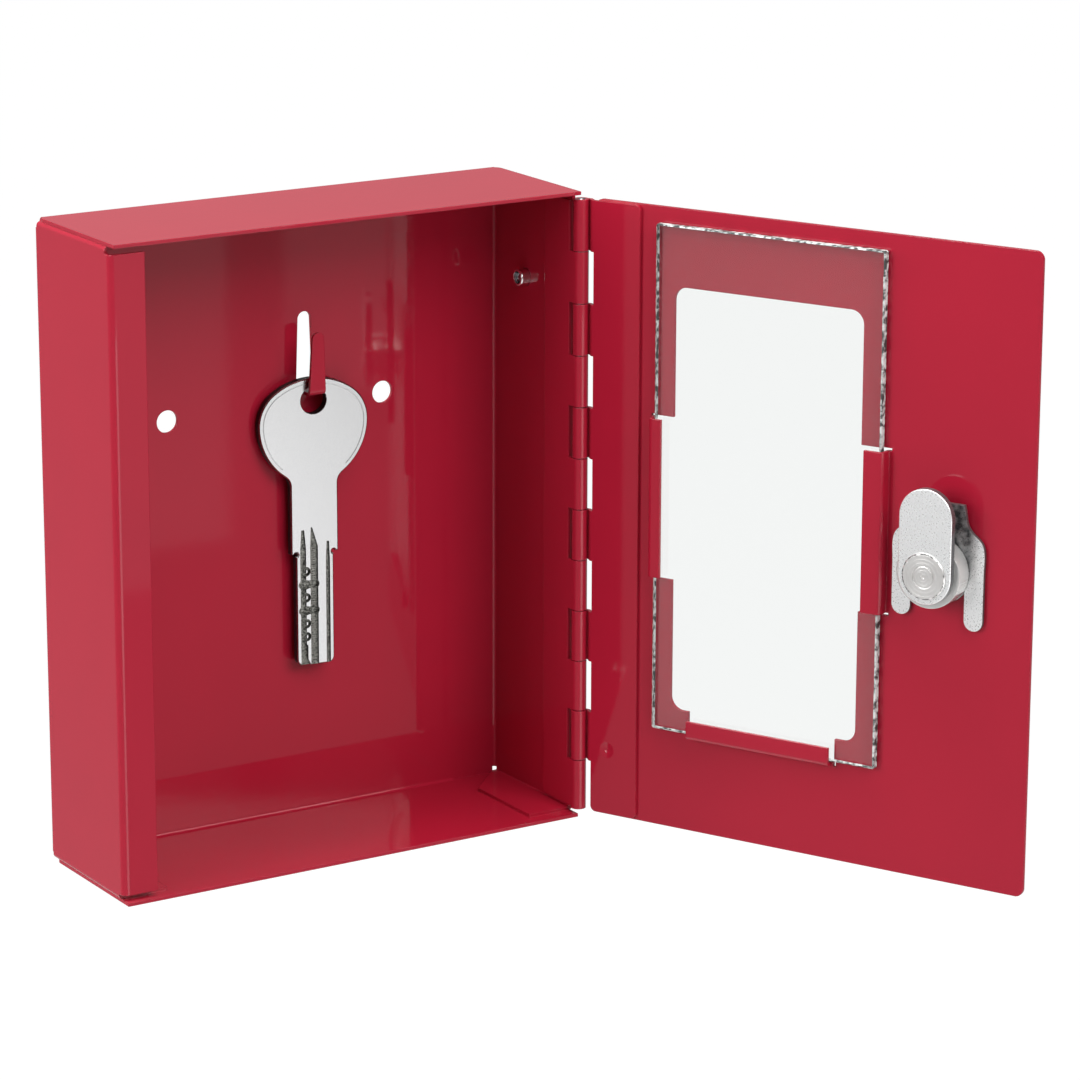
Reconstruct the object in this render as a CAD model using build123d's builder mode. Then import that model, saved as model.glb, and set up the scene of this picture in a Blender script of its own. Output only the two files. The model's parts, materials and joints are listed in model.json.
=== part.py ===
"""Break glass key box: folded steel case, piano hinge, glazed door, cam lock and hanging key.

X runs to the right, Y into the wall and Z up. The origin lies midway between the two wall
screw holes, on the back face of the case. The door stands open, as it does in use.
"""

from build123d import *
from math import acos, atan2, cos, degrees, radians, sin, sqrt
import os

# ---- case, mm -------------------------------------------------------------------------
box_width = 120.0
box_height = 150.0
box_depth = 38.0
sheet = 0.8
fold_radius = 1.5  # outside radius of the folds
tab_fold_radius = 1.0  # corner tabs and glass tabs are folded tighter
screw_spacing = 56.5
screw_drop = 50.5  # from the top edge down to the wall screws
screw_hole = 5.3
plate_inset = 0.6  # side edges of the top and bottom plates, in from the side walls
plate_corner = 2.0  # rounding of the plates' two rear corners
tab_width = 12.0  # corner tabs folded in from the side walls
tab_mitre = 26.6  # from the front edge back to where a tab's mitre starts
lip_width = 8.5
lip_gap = 0.3  # between the closed door and the lip behind it
lip_low = 2.1  # lip ends, in from the bottom and top edges
lip_high = 2.4

# ---- key hook, lanced from the back panel ----------------------------------------------
hook_offset = 7.6  # right of the centre line
hook_root = 3.6  # above the wall screws
hook_reach = 6.2
hook_rise = 14.6
hook_lean = 0.5
hook_root_width = 4.2
hook_tip_width = 3.0
slot_length = 18.0
slot_top_width = 3.4
slot_root_width = 4.6

# ---- piano hinge -----------------------------------------------------------------------
leaf_sheet = 0.8
barrel_radius = 1.8
pin_clearance = 0.05
pin_chamfer = 0.2
knuckle_count = 12
knuckle_gap = 0.2
hinge_end_gap = 1.8  # from the case's edges to the ends of the barrel
leaf_end_gap = 2.5  # the fixed leaf is cropped to clear the corner tabs
leaf_gap = 3.6  # from the hinge axis to the straight edges of the door and its leaf
leaf_corner = 1.4
strap_fold_radius = 0.45  # at the middle of the straps' sheet
fixed_leaf_width = 12.8
door_leaf_width = 15.9
strap_drop = 1.2  # the door's knuckle straps step down towards the front
barrel_clearance = 0.4
weld_mark_radius = 1.9
weld_mark_depth = 0.2
weld_mark_reach = 8.0
weld_mark_height = 17.5

# ---- door ------------------------------------------------------------------------------
opening_angle = 115.8
door_reach = 116.3  # from the hinge axis to the free edge
door_end_gap = 1.5
door_corner = 2.0
window_start = 25.2  # from the hinge axis
window_width = 48.4
window_bottom = 30.6  # above the case's bottom edge
window_height = 100.0
window_corner = 3.2

# ---- glass pane and the tabs that hold it ----------------------------------------------
pane_start = 20.8
pane_bottom = 25.6
pane_width = 58.3
pane_height = 119.2
pane_thickness = 2.0
pane_play = 0.1
tab_play = 0.3
side_tab_bottom = 62.2
side_tab_length = 37.4
left_tab_lip = 2.9
right_tab_lip = 4.5
base_tab_start = 30.6
base_tab_length = 37.2
base_tab_lip = 4.0
tab_relief = 0.6  # free cut at each end of a tab

# ---- cam lock --------------------------------------------------------------------------
lock_reach = 93.5  # from the hinge axis
lock_height = 74.5  # above the case's bottom edge
lock_body = 15.6
lock_body_depth = 6.7  # behind the door's front face
lock_hole_play = 0.1
bezel_diameter = 19.5
bezel_height = 2.0
bezel_round = 0.8
groove_diameter = 13.2
groove_width = 1.3
plug_diameter = 10.4
plug_head_diameter = 12.0
plug_head = 1.0
plug_recess = 0.2
plug_play = 0.05
wafer_track_width = 3.0
wafer_track_depth = 0.9
keyway_width = 2.2
keyway_height = 7.2
clip_sheet = 0.9
clip_play = 0.1
clip_half_width = 11.3
clip_leg_width = 4.6
clip_leg_drop = 12.9
clip_short_leg = 1.3
clip_neck_half_width = 7.1
clip_neck_start = 12.6
clip_top = 16.1
clip_shoulder = 7.6
clip_shoulder_half_width = 10.5
clip_rise = 2.4
cam_gap = 0.2
cam_thickness = 1.7
cam_width = 13.0
cam_length = 13.3  # from the lock axis to the centre of the far end
cam_edge = 0.15
tail_flats = 8.4
tail_play = 0.05
peen_diameter = 10.6
peen_height = 0.45
peen_ring = 5.4
peen_ring_width = 0.5
wafer_count = 5
wafer_pitch = 1.15
wafer_first = 0.75
wafer_thickness = 0.7
wafer_width = 4.4
wafer_length = 9.2
wafer_window_width = 2.4
wafer_window_length = 5.6
wafer_arm_reach = 3.6
wafer_arm_low = 0.9
wafer_arm_high = 1.7
wafer_play = 0.05
arm_play = 0.1  # each side of the wafers' arms and springs
spring_radius = 0.32
spring_wire = 0.16
spring_length = 2.7
spring_turns = 6

# ---- key -------------------------------------------------------------------------------
key_thickness = 2.4
key_edge = 0.3  # chamfer round the outline
key_twist = 7.0  # the key hangs turned a little towards the front left
key_setback = 1.9  # from the back panel to the key, measured at its hole
key_hole = 6.6
key_hole_gap = 0.35  # above the hook, where the bow hangs on it
bow_top = 5.3  # above the hole's centre
bow_half_width = 13.6
bow_top_radius = 17.0
bow_corner_radius = 9.3
bow_side_radius = 15.0
bow_neck_fillet = 3.0
bow_border = 1.1
bow_border_width = 0.2
bow_border_depth = 0.12
bow_border_stop = 13.0  # degrees short of the neck
shank_half_width = 5.9
shank_bottom = 36.5  # below the hole's centre
blade_half_width = 4.7
blade_bottom = 63.5
blade_tip_radius = 1.6
shoulder_relief = 0.5
groove_depth = 0.5
groove_taper = 4.6  # over which a groove widens from its tip
side_groove_start = -3.7  # grooves, across the blade from its middle, and their tips
side_groove_end = -2.3
side_groove_tip_start = -3.4
side_groove_tip_end = -2.7
side_groove_top = 30.7
mid_groove_start = -1.2
mid_groove_end = 0.7
mid_groove_tip_start = -1.0
mid_groove_tip_end = -0.7
mid_groove_top = 30.2
thin_groove_start = 2.7
thin_groove_end = 3.7
thin_groove_tip_start = 2.95
thin_groove_tip_end = 3.5
thin_groove_top = 33.9
track_middle = -2.3
track_swing = 0.75
track_width = 0.7
track_depth = 0.9
track_top = 38.4
track_wave = 3.15
track_half_waves = 13
track_mouth = 2.2  # width of the track's mouth at the blade's tip
pocket_start = -4.2
pocket_end = 1.0
pocket_height = 1.9
pocket_depth = 0.7
pocket_top = 43.9
pocket_pitch = 6.3
pocket_count = 2
dimple_middle = -0.1
dimple_depth = 0.95

# ---- blind rivet in the right wall ------------------------------------------------------
rivet_back = 23.4  # behind the front edge
rivet_height = 126.1  # above the case's bottom edge
rivet_diameter = 4.0
rivet_play = 0.1
rivet_head_diameter = 7.4
rivet_head_height = 1.2
rivet_head_round = 0.85
rivet_set_length = 2.4  # stands out of the wall's inner face
rivet_rim_round = 0.4
mandrel_diameter = 1.9
mandrel_head = 2.9
mandrel_play = 0.05
mandrel_recess = 0.3  # the mandrel's head stays this far inside the set end

# ---- places worked out from the sizes above ---------------------------------------------
left = -box_width / 2
right = box_width / 2
front = -box_depth
back = 0.0
top = screw_drop
bottom = top - box_height
mid_fold = fold_radius - sheet / 2
tab_fold = tab_fold_radius - sheet / 2

axis_x = right - sheet - leaf_sheet + barrel_radius
axis_y = front + sheet + leaf_sheet / 2
wall_front = axis_y + barrel_radius + barrel_clearance
lip_middle = front + sheet + lip_gap + sheet / 2

angle = radians(opening_angle)
along = Vector(-cos(angle), -sin(angle), 0)  # from the hinge axis across the open door
inward = Vector(-sin(angle), cos(angle), 0)  # normal of the door's inner face
door_inner = -leaf_sheet / 2
door_outer = door_inner - sheet


def door_plane(offset, reach=0.0, height=0.0):
    """A plane parallel to the open door, offset inwards from the hinge axis."""
    origin = Vector(axis_x, axis_y, height) + along * reach + inward * offset
    return Plane(origin=origin, x_dir=along, z_dir=inward)


def lock_plane(depth):
    """A plane across the lock's axis, at a depth behind the door's front face."""
    return door_plane(door_outer + depth, lock_reach, bottom + lock_height)


os.makedirs("parts", exist_ok=True)

# ---- hook --------------------------------------------------------------------------------
hook_level = hook_root - sheet / 2
panel_middle = back - sheet / 2
with BuildPart() as hook:
    with BuildSketch(Plane.YZ.offset(hook_offset)):
        with BuildLine():
            FilletPolyline(
                (panel_middle, hook_level - 2 * fold_radius),
                (panel_middle, hook_level),
                (panel_middle - hook_reach, hook_level),
                (panel_middle - hook_reach - hook_lean, hook_level + hook_rise),
                radius=mid_fold,
            )
        trace(line_width=sheet)
    extrude(amount=hook_root_width / 2, both=True)
    with BuildSketch(Plane.XZ.offset(-sheet)):
        with BuildLine():
            tip = hook_level + hook_rise
            low = hook_level - 3 * fold_radius
            base = Polyline(
                (hook_offset - hook_tip_width / 2, tip - hook_tip_width / 2),
                (hook_offset - hook_root_width / 2, hook_root),
                (hook_offset - hook_root_width / 2, low),
                (hook_offset + hook_root_width / 2, low),
                (hook_offset + hook_root_width / 2, hook_root),
                (hook_offset + hook_tip_width / 2, tip - hook_tip_width / 2),
            )
            ThreePointArc(base @ 0, (hook_offset, tip), base @ 1)
        make_face()
    extrude(amount=2 * hook_reach + 2 * sheet, mode=Mode.INTERSECT)

# ---- folded case ---------------------------------------------------------------------------
panel_half = box_width / 2 - fold_radius
rivet_y = front + rivet_back
rivet_z = bottom + rivet_height
with BuildPart() as body_shell:
    # back panel with the top and bottom plates folded forward from it
    with BuildSketch(Plane.YZ.offset(-panel_half)):
        with BuildLine():
            FilletPolyline(
                (front, top - sheet / 2),
                (panel_middle, top - sheet / 2),
                (panel_middle, bottom + sheet / 2),
                (front, bottom + sheet / 2),
                radius=mid_fold,
            )
        trace(line_width=sheet)
    extrude(amount=2 * panel_half)
    # the plates run past the folds to cover both side walls
    for level in (bottom, top - sheet):
        with BuildSketch(Plane.XY.offset(level)) as plate:
            with Locations((0, (front - fold_radius) / 2)):
                Rectangle(box_width - 2 * plate_inset, box_depth - fold_radius)
            fillet(plate.vertices().group_by(Axis.Y)[-1], plate_corner)
        extrude(amount=sheet)
    # side walls folded forward from the back panel
    with BuildSketch(Plane.XY.offset(bottom + sheet + fold_radius)):
        with BuildLine():
            FilletPolyline(
                (left + sheet / 2, wall_front),
                (left + sheet / 2, panel_middle),
                (right - sheet / 2, panel_middle),
                (right - sheet / 2, wall_front),
                radius=mid_fold,
            )
        trace(line_width=sheet)
    extrude(amount=box_height - 2 * (sheet + fold_radius))
    # corner tabs folded in from the side walls, under the top plate and over the bottom one
    for side in (-1, 1):
        with BuildSketch(Plane.XZ.offset(fold_radius)):
            with BuildLine():
                FilletPolyline(
                    (side * (box_width / 2 - tab_width), top - 1.5 * sheet),
                    (side * (box_width / 2 - sheet / 2), top - 1.5 * sheet),
                    (side * (box_width / 2 - sheet / 2), bottom + 1.5 * sheet),
                    (side * (box_width / 2 - tab_width), bottom + 1.5 * sheet),
                    radius=tab_fold,
                )
            trace(line_width=sheet)
        extrude(amount=-fold_radius - wall_front)
    # mitred ends of the tabs
    for side in (-1, 1):
        for level in (bottom + sheet, top - 2 * sheet):
            with BuildSketch(Plane.XY.offset(level)):
                with BuildLine():
                    Polyline(
                        (side * (box_width / 2 - tab_width - sheet), back - sheet),
                        (side * (box_width / 2 - tab_width - sheet), front + tab_mitre),
                        (side * (box_width / 2 - tab_width), front + tab_mitre),
                        (side * (box_width / 2 - fold_radius), back - sheet),
                        close=True,
                    )
                make_face()
            extrude(amount=sheet, mode=Mode.SUBTRACT)
    # front lip, folded in from the left wall for the cam to catch behind
    with BuildSketch(Plane.XY.offset(bottom + lip_low)):
        with BuildLine():
            FilletPolyline(
                (left + lip_width, lip_middle),
                (left + sheet / 2, lip_middle),
                (left + sheet / 2, wall_front + sheet),
                radius=mid_fold,
            )
        trace(line_width=sheet)
    extrude(amount=box_height - lip_low - lip_high)
    # slot that the hook was lanced from
    with BuildSketch(Plane.XZ):
        with BuildLine():
            slot_head = hook_root + slot_length - slot_top_width / 2
            sides = Polyline(
                (hook_offset - slot_top_width / 2, slot_head),
                (hook_offset - slot_root_width / 2, hook_root),
                (hook_offset + slot_root_width / 2, hook_root),
                (hook_offset + slot_top_width / 2, slot_head),
            )
            ThreePointArc(sides @ 0, (hook_offset, hook_root + slot_length), sides @ 1)
        make_face()
    extrude(amount=sheet, mode=Mode.SUBTRACT)
    add(hook.part)
    with BuildSketch(Plane.XZ):
        with Locations((-screw_spacing / 2, 0), (screw_spacing / 2, 0)):
            Circle(screw_hole / 2)
    extrude(amount=sheet, mode=Mode.SUBTRACT)
    with BuildSketch(Plane.YZ.offset(right - sheet)):
        with Locations((rivet_y, rivet_z)):
            Circle(rivet_diameter / 2 + rivet_play)
    extrude(amount=sheet, mode=Mode.SUBTRACT)
body_shell.part.label = "body_shell"
export_step(body_shell.part, "parts/body_shell.step")

# ---- blind rivet -----------------------------------------------------------------------------
rivet_axis = Plane(origin=(right, rivet_y, rivet_z), x_dir=(0, 1, 0), z_dir=(-1, 0, 0))
rivet_end = sheet + rivet_set_length
mandrel_reach = rivet_end - mandrel_recess - mandrel_head / 2
with BuildPart() as rivet_body:
    with BuildSketch(rivet_axis.offset(-rivet_head_height)):
        Circle(rivet_head_diameter / 2)
    extrude(amount=rivet_head_height)
    fillet(rivet_body.edges().sort_by(Axis.X)[-1], rivet_head_round)
    with BuildSketch(rivet_axis):
        Circle(rivet_diameter / 2)
    extrude(amount=rivet_end)
    with BuildSketch(rivet_axis.offset(-rivet_head_height)):
        Circle(mandrel_diameter / 2 + mandrel_play)
    extrude(amount=rivet_head_height + rivet_end, mode=Mode.SUBTRACT)
    # the set end stays open in front of the mandrel's head
    with Locations(rivet_axis.offset(mandrel_reach).location):
        Sphere(mandrel_head / 2 + mandrel_play, mode=Mode.SUBTRACT)
    with BuildSketch(rivet_axis.offset(mandrel_reach)):
        Circle(mandrel_head / 2 + mandrel_play)
    extrude(amount=mandrel_head, mode=Mode.SUBTRACT)
    fillet(rivet_body.faces().sort_by(Axis.X)[0].outer_wire().edges(), rivet_rim_round)
rivet_body.part.label = "rivet_body"
export_step(rivet_body.part, "parts/rivet_body.step")

with BuildPart() as rivet_mandrel:
    with BuildSketch(rivet_axis.offset(-rivet_head_height / 2)):
        Circle(mandrel_diameter / 2)
    extrude(amount=rivet_head_height / 2 + mandrel_reach)
    with Locations(rivet_axis.offset(mandrel_reach).location):
        Sphere(mandrel_head / 2)
rivet_mandrel.part.label = "rivet_mandrel"
export_step(rivet_mandrel.part, "parts/rivet_mandrel.step")

# ---- piano hinge -----------------------------------------------------------------------------
hinge_bottom = bottom + hinge_end_gap
hinge_top = top - hinge_end_gap
knuckle_pitch = (hinge_top - hinge_bottom) / knuckle_count
bore_radius = barrel_radius - leaf_sheet


def knuckle_spans(first):
    """Bottom and top of every second knuckle, counted down from the barrel's top."""
    spans = []
    for number in range(first, knuckle_count, 2):
        high = hinge_top - number * knuckle_pitch
        spans.append((high - knuckle_pitch + knuckle_gap / 2, high - knuckle_gap / 2))
    return spans


door_knuckles = knuckle_spans(0)
fixed_knuckles = knuckle_spans(1)
fixed_low = bottom + leaf_end_gap
fixed_high = top - leaf_end_gap

with BuildPart() as hinge_box_leaf:
    with BuildSketch(Plane.YZ.offset(right - sheet - leaf_sheet)):
        leaf_front = barrel_radius + barrel_clearance
        with Locations((axis_y + (leaf_front + fixed_leaf_width) / 2, (fixed_low + fixed_high) / 2)):
            Rectangle(fixed_leaf_width - leaf_front, fixed_high - fixed_low)
        for low, high in fixed_knuckles:
            low, high = max(low, fixed_low), min(high, fixed_high)
            with Locations((axis_y + leaf_front, (low + high) / 2)):
                Rectangle(2 * leaf_front, high - low)
    extrude(amount=leaf_sheet)
    for low, high in fixed_knuckles:
        with BuildSketch(Plane.XY.offset(low)):
            with Locations((axis_x, axis_y)):
                Circle(barrel_radius)
        extrude(amount=high - low)
    with BuildSketch(Plane.XY.offset(bottom)):
        with Locations((axis_x, axis_y)):
            Circle(bore_radius)
    extrude(amount=box_height, mode=Mode.SUBTRACT)
hinge_box_leaf.part.label = "hinge_box_leaf"
export_step(hinge_box_leaf.part, "parts/hinge_box_leaf.step")

with BuildPart() as hinge_door_leaf:
    with BuildSketch(door_plane(-leaf_sheet / 2)):
        with Locations(((leaf_gap + door_leaf_width) / 2, (hinge_bottom + hinge_top) / 2)):
            RectangleRounded(door_leaf_width - leaf_gap, hinge_top - hinge_bottom, leaf_corner)
    extrude(amount=leaf_sheet)
    for low, high in door_knuckles:
        section = Plane(origin=(axis_x, axis_y, low), x_dir=along, z_dir=(0, 0, 1))
        with BuildSketch(section):
            with BuildLine():
                FilletPolyline(
                    (leaf_gap + leaf_sheet, 0),
                    (leaf_gap - leaf_sheet / 2, 0),
                    (leaf_gap - 2 * leaf_sheet, strap_drop),
                    (barrel_radius / 2, strap_drop),
                    radius=strap_fold_radius,
                )
            trace(line_width=leaf_sheet)
            Circle(barrel_radius)
        extrude(amount=high - low)
    with BuildSketch(Plane.XY.offset(bottom)):
        with Locations((axis_x, axis_y)):
            Circle(bore_radius)
    extrude(amount=box_height, mode=Mode.SUBTRACT)
    # shallow crater left by the spot weld
    crater = (weld_mark_radius**2 + weld_mark_depth**2) / (2 * weld_mark_depth)
    crater_height = leaf_sheet / 2 + crater - weld_mark_depth
    with Locations(door_plane(crater_height, weld_mark_reach, bottom + weld_mark_height).location):
        Sphere(crater, mode=Mode.SUBTRACT)
hinge_door_leaf.part.label = "hinge_door_leaf"
export_step(hinge_door_leaf.part, "parts/hinge_door_leaf.step")

with BuildPart() as hinge_pin:
    with BuildSketch(Plane.XY.offset(hinge_bottom)):
        with Locations((axis_x, axis_y)):
            Circle(bore_radius - pin_clearance)
    extrude(amount=hinge_top - hinge_bottom)
    chamfer(hinge_pin.edges().filter_by(GeomType.CIRCLE), pin_chamfer)
hinge_pin.part.label = "hinge_pin"
export_step(hinge_pin.part, "parts/hinge_pin.step")

# ---- glass pane ------------------------------------------------------------------------------
pane_face = door_inner + pane_play
with BuildPart() as glass_pane:
    with BuildSketch(door_plane(pane_face)):
        with Locations((pane_start + pane_width / 2, bottom + pane_bottom + pane_height / 2)):
            Rectangle(pane_width, pane_height)
    extrude(amount=pane_thickness)
glass_pane.part.label = "glass_pane"
export_step(glass_pane.part, "parts/glass_pane.step")

# ---- door panel ------------------------------------------------------------------------------
sheet_middle = door_inner - sheet / 2
tab_rise = pane_face + pane_thickness + pane_play + sheet / 2 - sheet_middle
tab_offset = tab_play + sheet / 2


def glass_tab(section, length, lip):
    """A tab folded up past the pane's edge and over its face; x of the section points outwards."""
    with BuildPart() as tab:
        with BuildSketch(section):
            with BuildLine():
                FilletPolyline(
                    (-2 * sheet, 0), (0, 0), (0, tab_rise), (lip, tab_rise), radius=tab_fold
                )
            trace(line_width=sheet)
        extrude(amount=length / 2, both=True)
    return tab.part


def tab_section(reach, height, outwards):
    """The section plane of a tab whose wall stands at the given place on the door."""
    origin = door_plane(sheet_middle, reach, height).origin
    across = -outwards
    return Plane(origin=origin, x_dir=across, z_dir=across.cross(inward))


left_tab = pane_start - tab_offset
right_tab = pane_start + pane_width + tab_offset
base_tab = bottom + pane_bottom - tab_offset
side_tab_middle = bottom + side_tab_bottom + side_tab_length / 2
base_tab_middle = base_tab_start + base_tab_length / 2
upright = Vector(0, 0, 1)
glass_tabs = [
    glass_tab(tab_section(left_tab, side_tab_middle, -along), side_tab_length, left_tab_lip),
    glass_tab(tab_section(right_tab, side_tab_middle, along), side_tab_length, right_tab_lip),
    glass_tab(tab_section(base_tab_middle, base_tab, -upright), base_tab_length, base_tab_lip),
]

window_end = window_start + window_width
window_low = bottom + window_bottom
side_notch = side_tab_length + 2 * tab_relief
base_notch = base_tab_length + 2 * tab_relief
with BuildPart() as door_panel:
    with BuildSketch(door_plane(door_outer)):
        with Locations(((leaf_gap + door_reach) / 2, (bottom + top) / 2)):
            RectangleRounded(door_reach - leaf_gap, box_height - 2 * door_end_gap, door_corner)
        with Locations((window_start + window_width / 2, window_low + window_height / 2)):
            RectangleRounded(window_width, window_height, window_corner, mode=Mode.SUBTRACT)
        # the blanks of the three tabs leave notches in the window's edge
        with Locations(((left_tab - mid_fold + window_start + sheet) / 2, side_tab_middle)):
            Rectangle(window_start + sheet - left_tab + mid_fold, side_notch, mode=Mode.SUBTRACT)
        with Locations(((right_tab + mid_fold + window_end - sheet) / 2, side_tab_middle)):
            Rectangle(right_tab + mid_fold - window_end + sheet, side_notch, mode=Mode.SUBTRACT)
        with Locations((base_tab_middle, (base_tab - mid_fold + window_low + sheet) / 2)):
            Rectangle(base_notch, window_low + sheet - base_tab + mid_fold, mode=Mode.SUBTRACT)
        with Locations((lock_reach, bottom + lock_height)):
            Circle(lock_body / 2 + lock_hole_play, mode=Mode.SUBTRACT)
    extrude(amount=sheet)
    for glass_holder in glass_tabs:
        add(glass_holder)
door_panel.part.label = "door_panel"
export_step(door_panel.part, "parts/door_panel.step")

# ---- cam lock --------------------------------------------------------------------------------
through_door = Axis(lock_plane(0).origin, inward)
plug_front = plug_recess - bezel_height
plug_shoulder = plug_front + plug_head
with BuildPart() as lock_housing:
    with BuildSketch(lock_plane(0)):
        Circle(bezel_diameter / 2)
    extrude(amount=-bezel_height)
    bezel_edge = lock_housing.edges().sort_by(through_door)[0]
    fillet(bezel_edge, bezel_round)
    with BuildSketch(lock_plane(0)):
        Circle(lock_body / 2)
    extrude(amount=lock_body_depth)
    with BuildSketch(lock_plane(sheet)):
        Circle(lock_body / 2)
        Circle(groove_diameter / 2, mode=Mode.SUBTRACT)
    extrude(amount=groove_width, mode=Mode.SUBTRACT)
    with BuildSketch(lock_plane(-bezel_height)):
        Circle(plug_head_diameter / 2 + plug_play)
    extrude(amount=plug_shoulder + bezel_height + plug_play, mode=Mode.SUBTRACT)
    # bore, with the tracks that the wafers spring into at the locked and unlocked positions
    track_span = plug_diameter + 2 * wafer_track_depth
    with BuildSketch(lock_plane(plug_shoulder)):
        Circle(plug_diameter / 2 + plug_play)
        Rectangle(wafer_track_width, track_span)
        Rectangle(track_span, wafer_track_width)
    extrude(amount=lock_body_depth - plug_shoulder, mode=Mode.SUBTRACT)
lock_housing.part.label = "lock_housing"
export_step(lock_housing.part, "parts/lock_housing.step")

tail_start = lock_body_depth + cam_gap / 2
cam_front = lock_body_depth + cam_gap
cam_rear = cam_front + cam_thickness
with BuildPart() as lock_plug:
    with BuildSketch(lock_plane(plug_front)):
        Circle(plug_head_diameter / 2)
    extrude(amount=plug_head)
    with BuildSketch(lock_plane(plug_shoulder)):
        Circle(plug_diameter / 2)
    extrude(amount=tail_start - plug_shoulder)
    with BuildSketch(lock_plane(tail_start)):
        Circle(plug_diameter / 2)
        Rectangle(tail_flats, plug_diameter, mode=Mode.INTERSECT)
    extrude(amount=cam_rear - tail_start)
    # tail peened over the cam, with the rings that the peening tool leaves
    with BuildSketch(lock_plane(cam_rear)):
        Circle(peen_diameter / 2)
    extrude(amount=peen_height)
    rim = lock_plug.edges().filter_by(GeomType.CIRCLE).sort_by(through_door)
    chamfer(rim[-1], peen_height / 2)
    with BuildSketch(lock_plane(cam_rear + peen_height / 2)):
        Circle(peen_ring / 2)
        Circle(peen_ring / 2 - peen_ring_width, mode=Mode.SUBTRACT)
        Circle(peen_ring_width)
    extrude(amount=peen_height, mode=Mode.SUBTRACT)
    # keyway and the pockets of the wafers and their springs
    with BuildSketch(lock_plane(plug_front)):
        Rectangle(keyway_width, keyway_height)
    extrude(amount=wafer_first + wafer_count * wafer_pitch - plug_front, mode=Mode.SUBTRACT)
    pocket_thickness = wafer_thickness + 2 * wafer_play
    arm_width = wafer_arm_reach - wafer_width / 2
    for number in range(wafer_count):
        depth = wafer_first + number * wafer_pitch - pocket_thickness / 2
        with BuildSketch(lock_plane(depth)):
            Rectangle(wafer_width + 2 * wafer_play, plug_diameter)
            with Locations((wafer_width / 2 + arm_width / 2, (wafer_arm_high - spring_length) / 2)):
                Rectangle(arm_width + 2 * arm_play, wafer_arm_high + spring_length + wafer_play)
        extrude(amount=pocket_thickness, mode=Mode.SUBTRACT)
lock_plug.part.label = "lock_plug"
export_step(lock_plug.part, "parts/lock_plug.step")

# wafers, held in by the key's height, each with the arm that its spring pushes on
for number in range(wafer_count):
    with BuildPart() as lock_wafer:
        with BuildSketch(lock_plane(wafer_first + number * wafer_pitch - wafer_thickness / 2)):
            Rectangle(wafer_width, wafer_length)
            with Locations((wafer_width / 2, (wafer_arm_low + wafer_arm_high) / 2)):
                Rectangle(2 * arm_width, wafer_arm_high - wafer_arm_low)
            Rectangle(wafer_window_width, wafer_window_length, mode=Mode.SUBTRACT)
        extrude(amount=wafer_thickness)
    lock_wafer.part.label = f"lock_wafer_{number + 1}"
    export_step(lock_wafer.part, f"parts/lock_wafer_{number + 1}.step")

# one coil spring under each wafer's arm
coil_height = spring_length - spring_wire
coil_reach = wafer_width / 2 + arm_width / 2
coil_foot = wafer_arm_low - spring_length + spring_wire / 2
for number in range(wafer_count):
    seat = lock_plane(wafer_first + number * wafer_pitch)
    with BuildPart() as wafer_spring:
        with BuildLine() as coil:
            Helix(
                coil_height / spring_turns,
                coil_height,
                spring_radius,
                center=seat.from_local_coords((coil_reach, coil_foot, 0)),
            )
        with BuildSketch(Plane(origin=coil.line @ 0, z_dir=coil.line % 0)):
            Circle(spring_wire / 2)
        sweep(path=coil.line)
    wafer_spring.part.label = f"wafer_spring_{number + 1}"
    export_step(wafer_spring.part, f"parts/wafer_spring_{number + 1}.step")

with BuildPart() as lock_cam:
    with BuildSketch(lock_plane(cam_front)):
        with Locations((0, cam_length / 2)):
            SlotCenterToCenter(cam_length, cam_width, rotation=90)
    extrude(amount=cam_thickness)
    chamfer(lock_cam.faces().sort_by(through_door)[-1].edges(), cam_edge)
    with BuildSketch(lock_plane(cam_front)):
        Circle(plug_diameter / 2 + tail_play)
        Rectangle(tail_flats + 2 * tail_play, cam_width, mode=Mode.INTERSECT)
    extrude(amount=cam_thickness, mode=Mode.SUBTRACT)
lock_cam.part.label = "lock_cam"
export_step(lock_cam.part, "parts/lock_cam.step")

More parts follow.
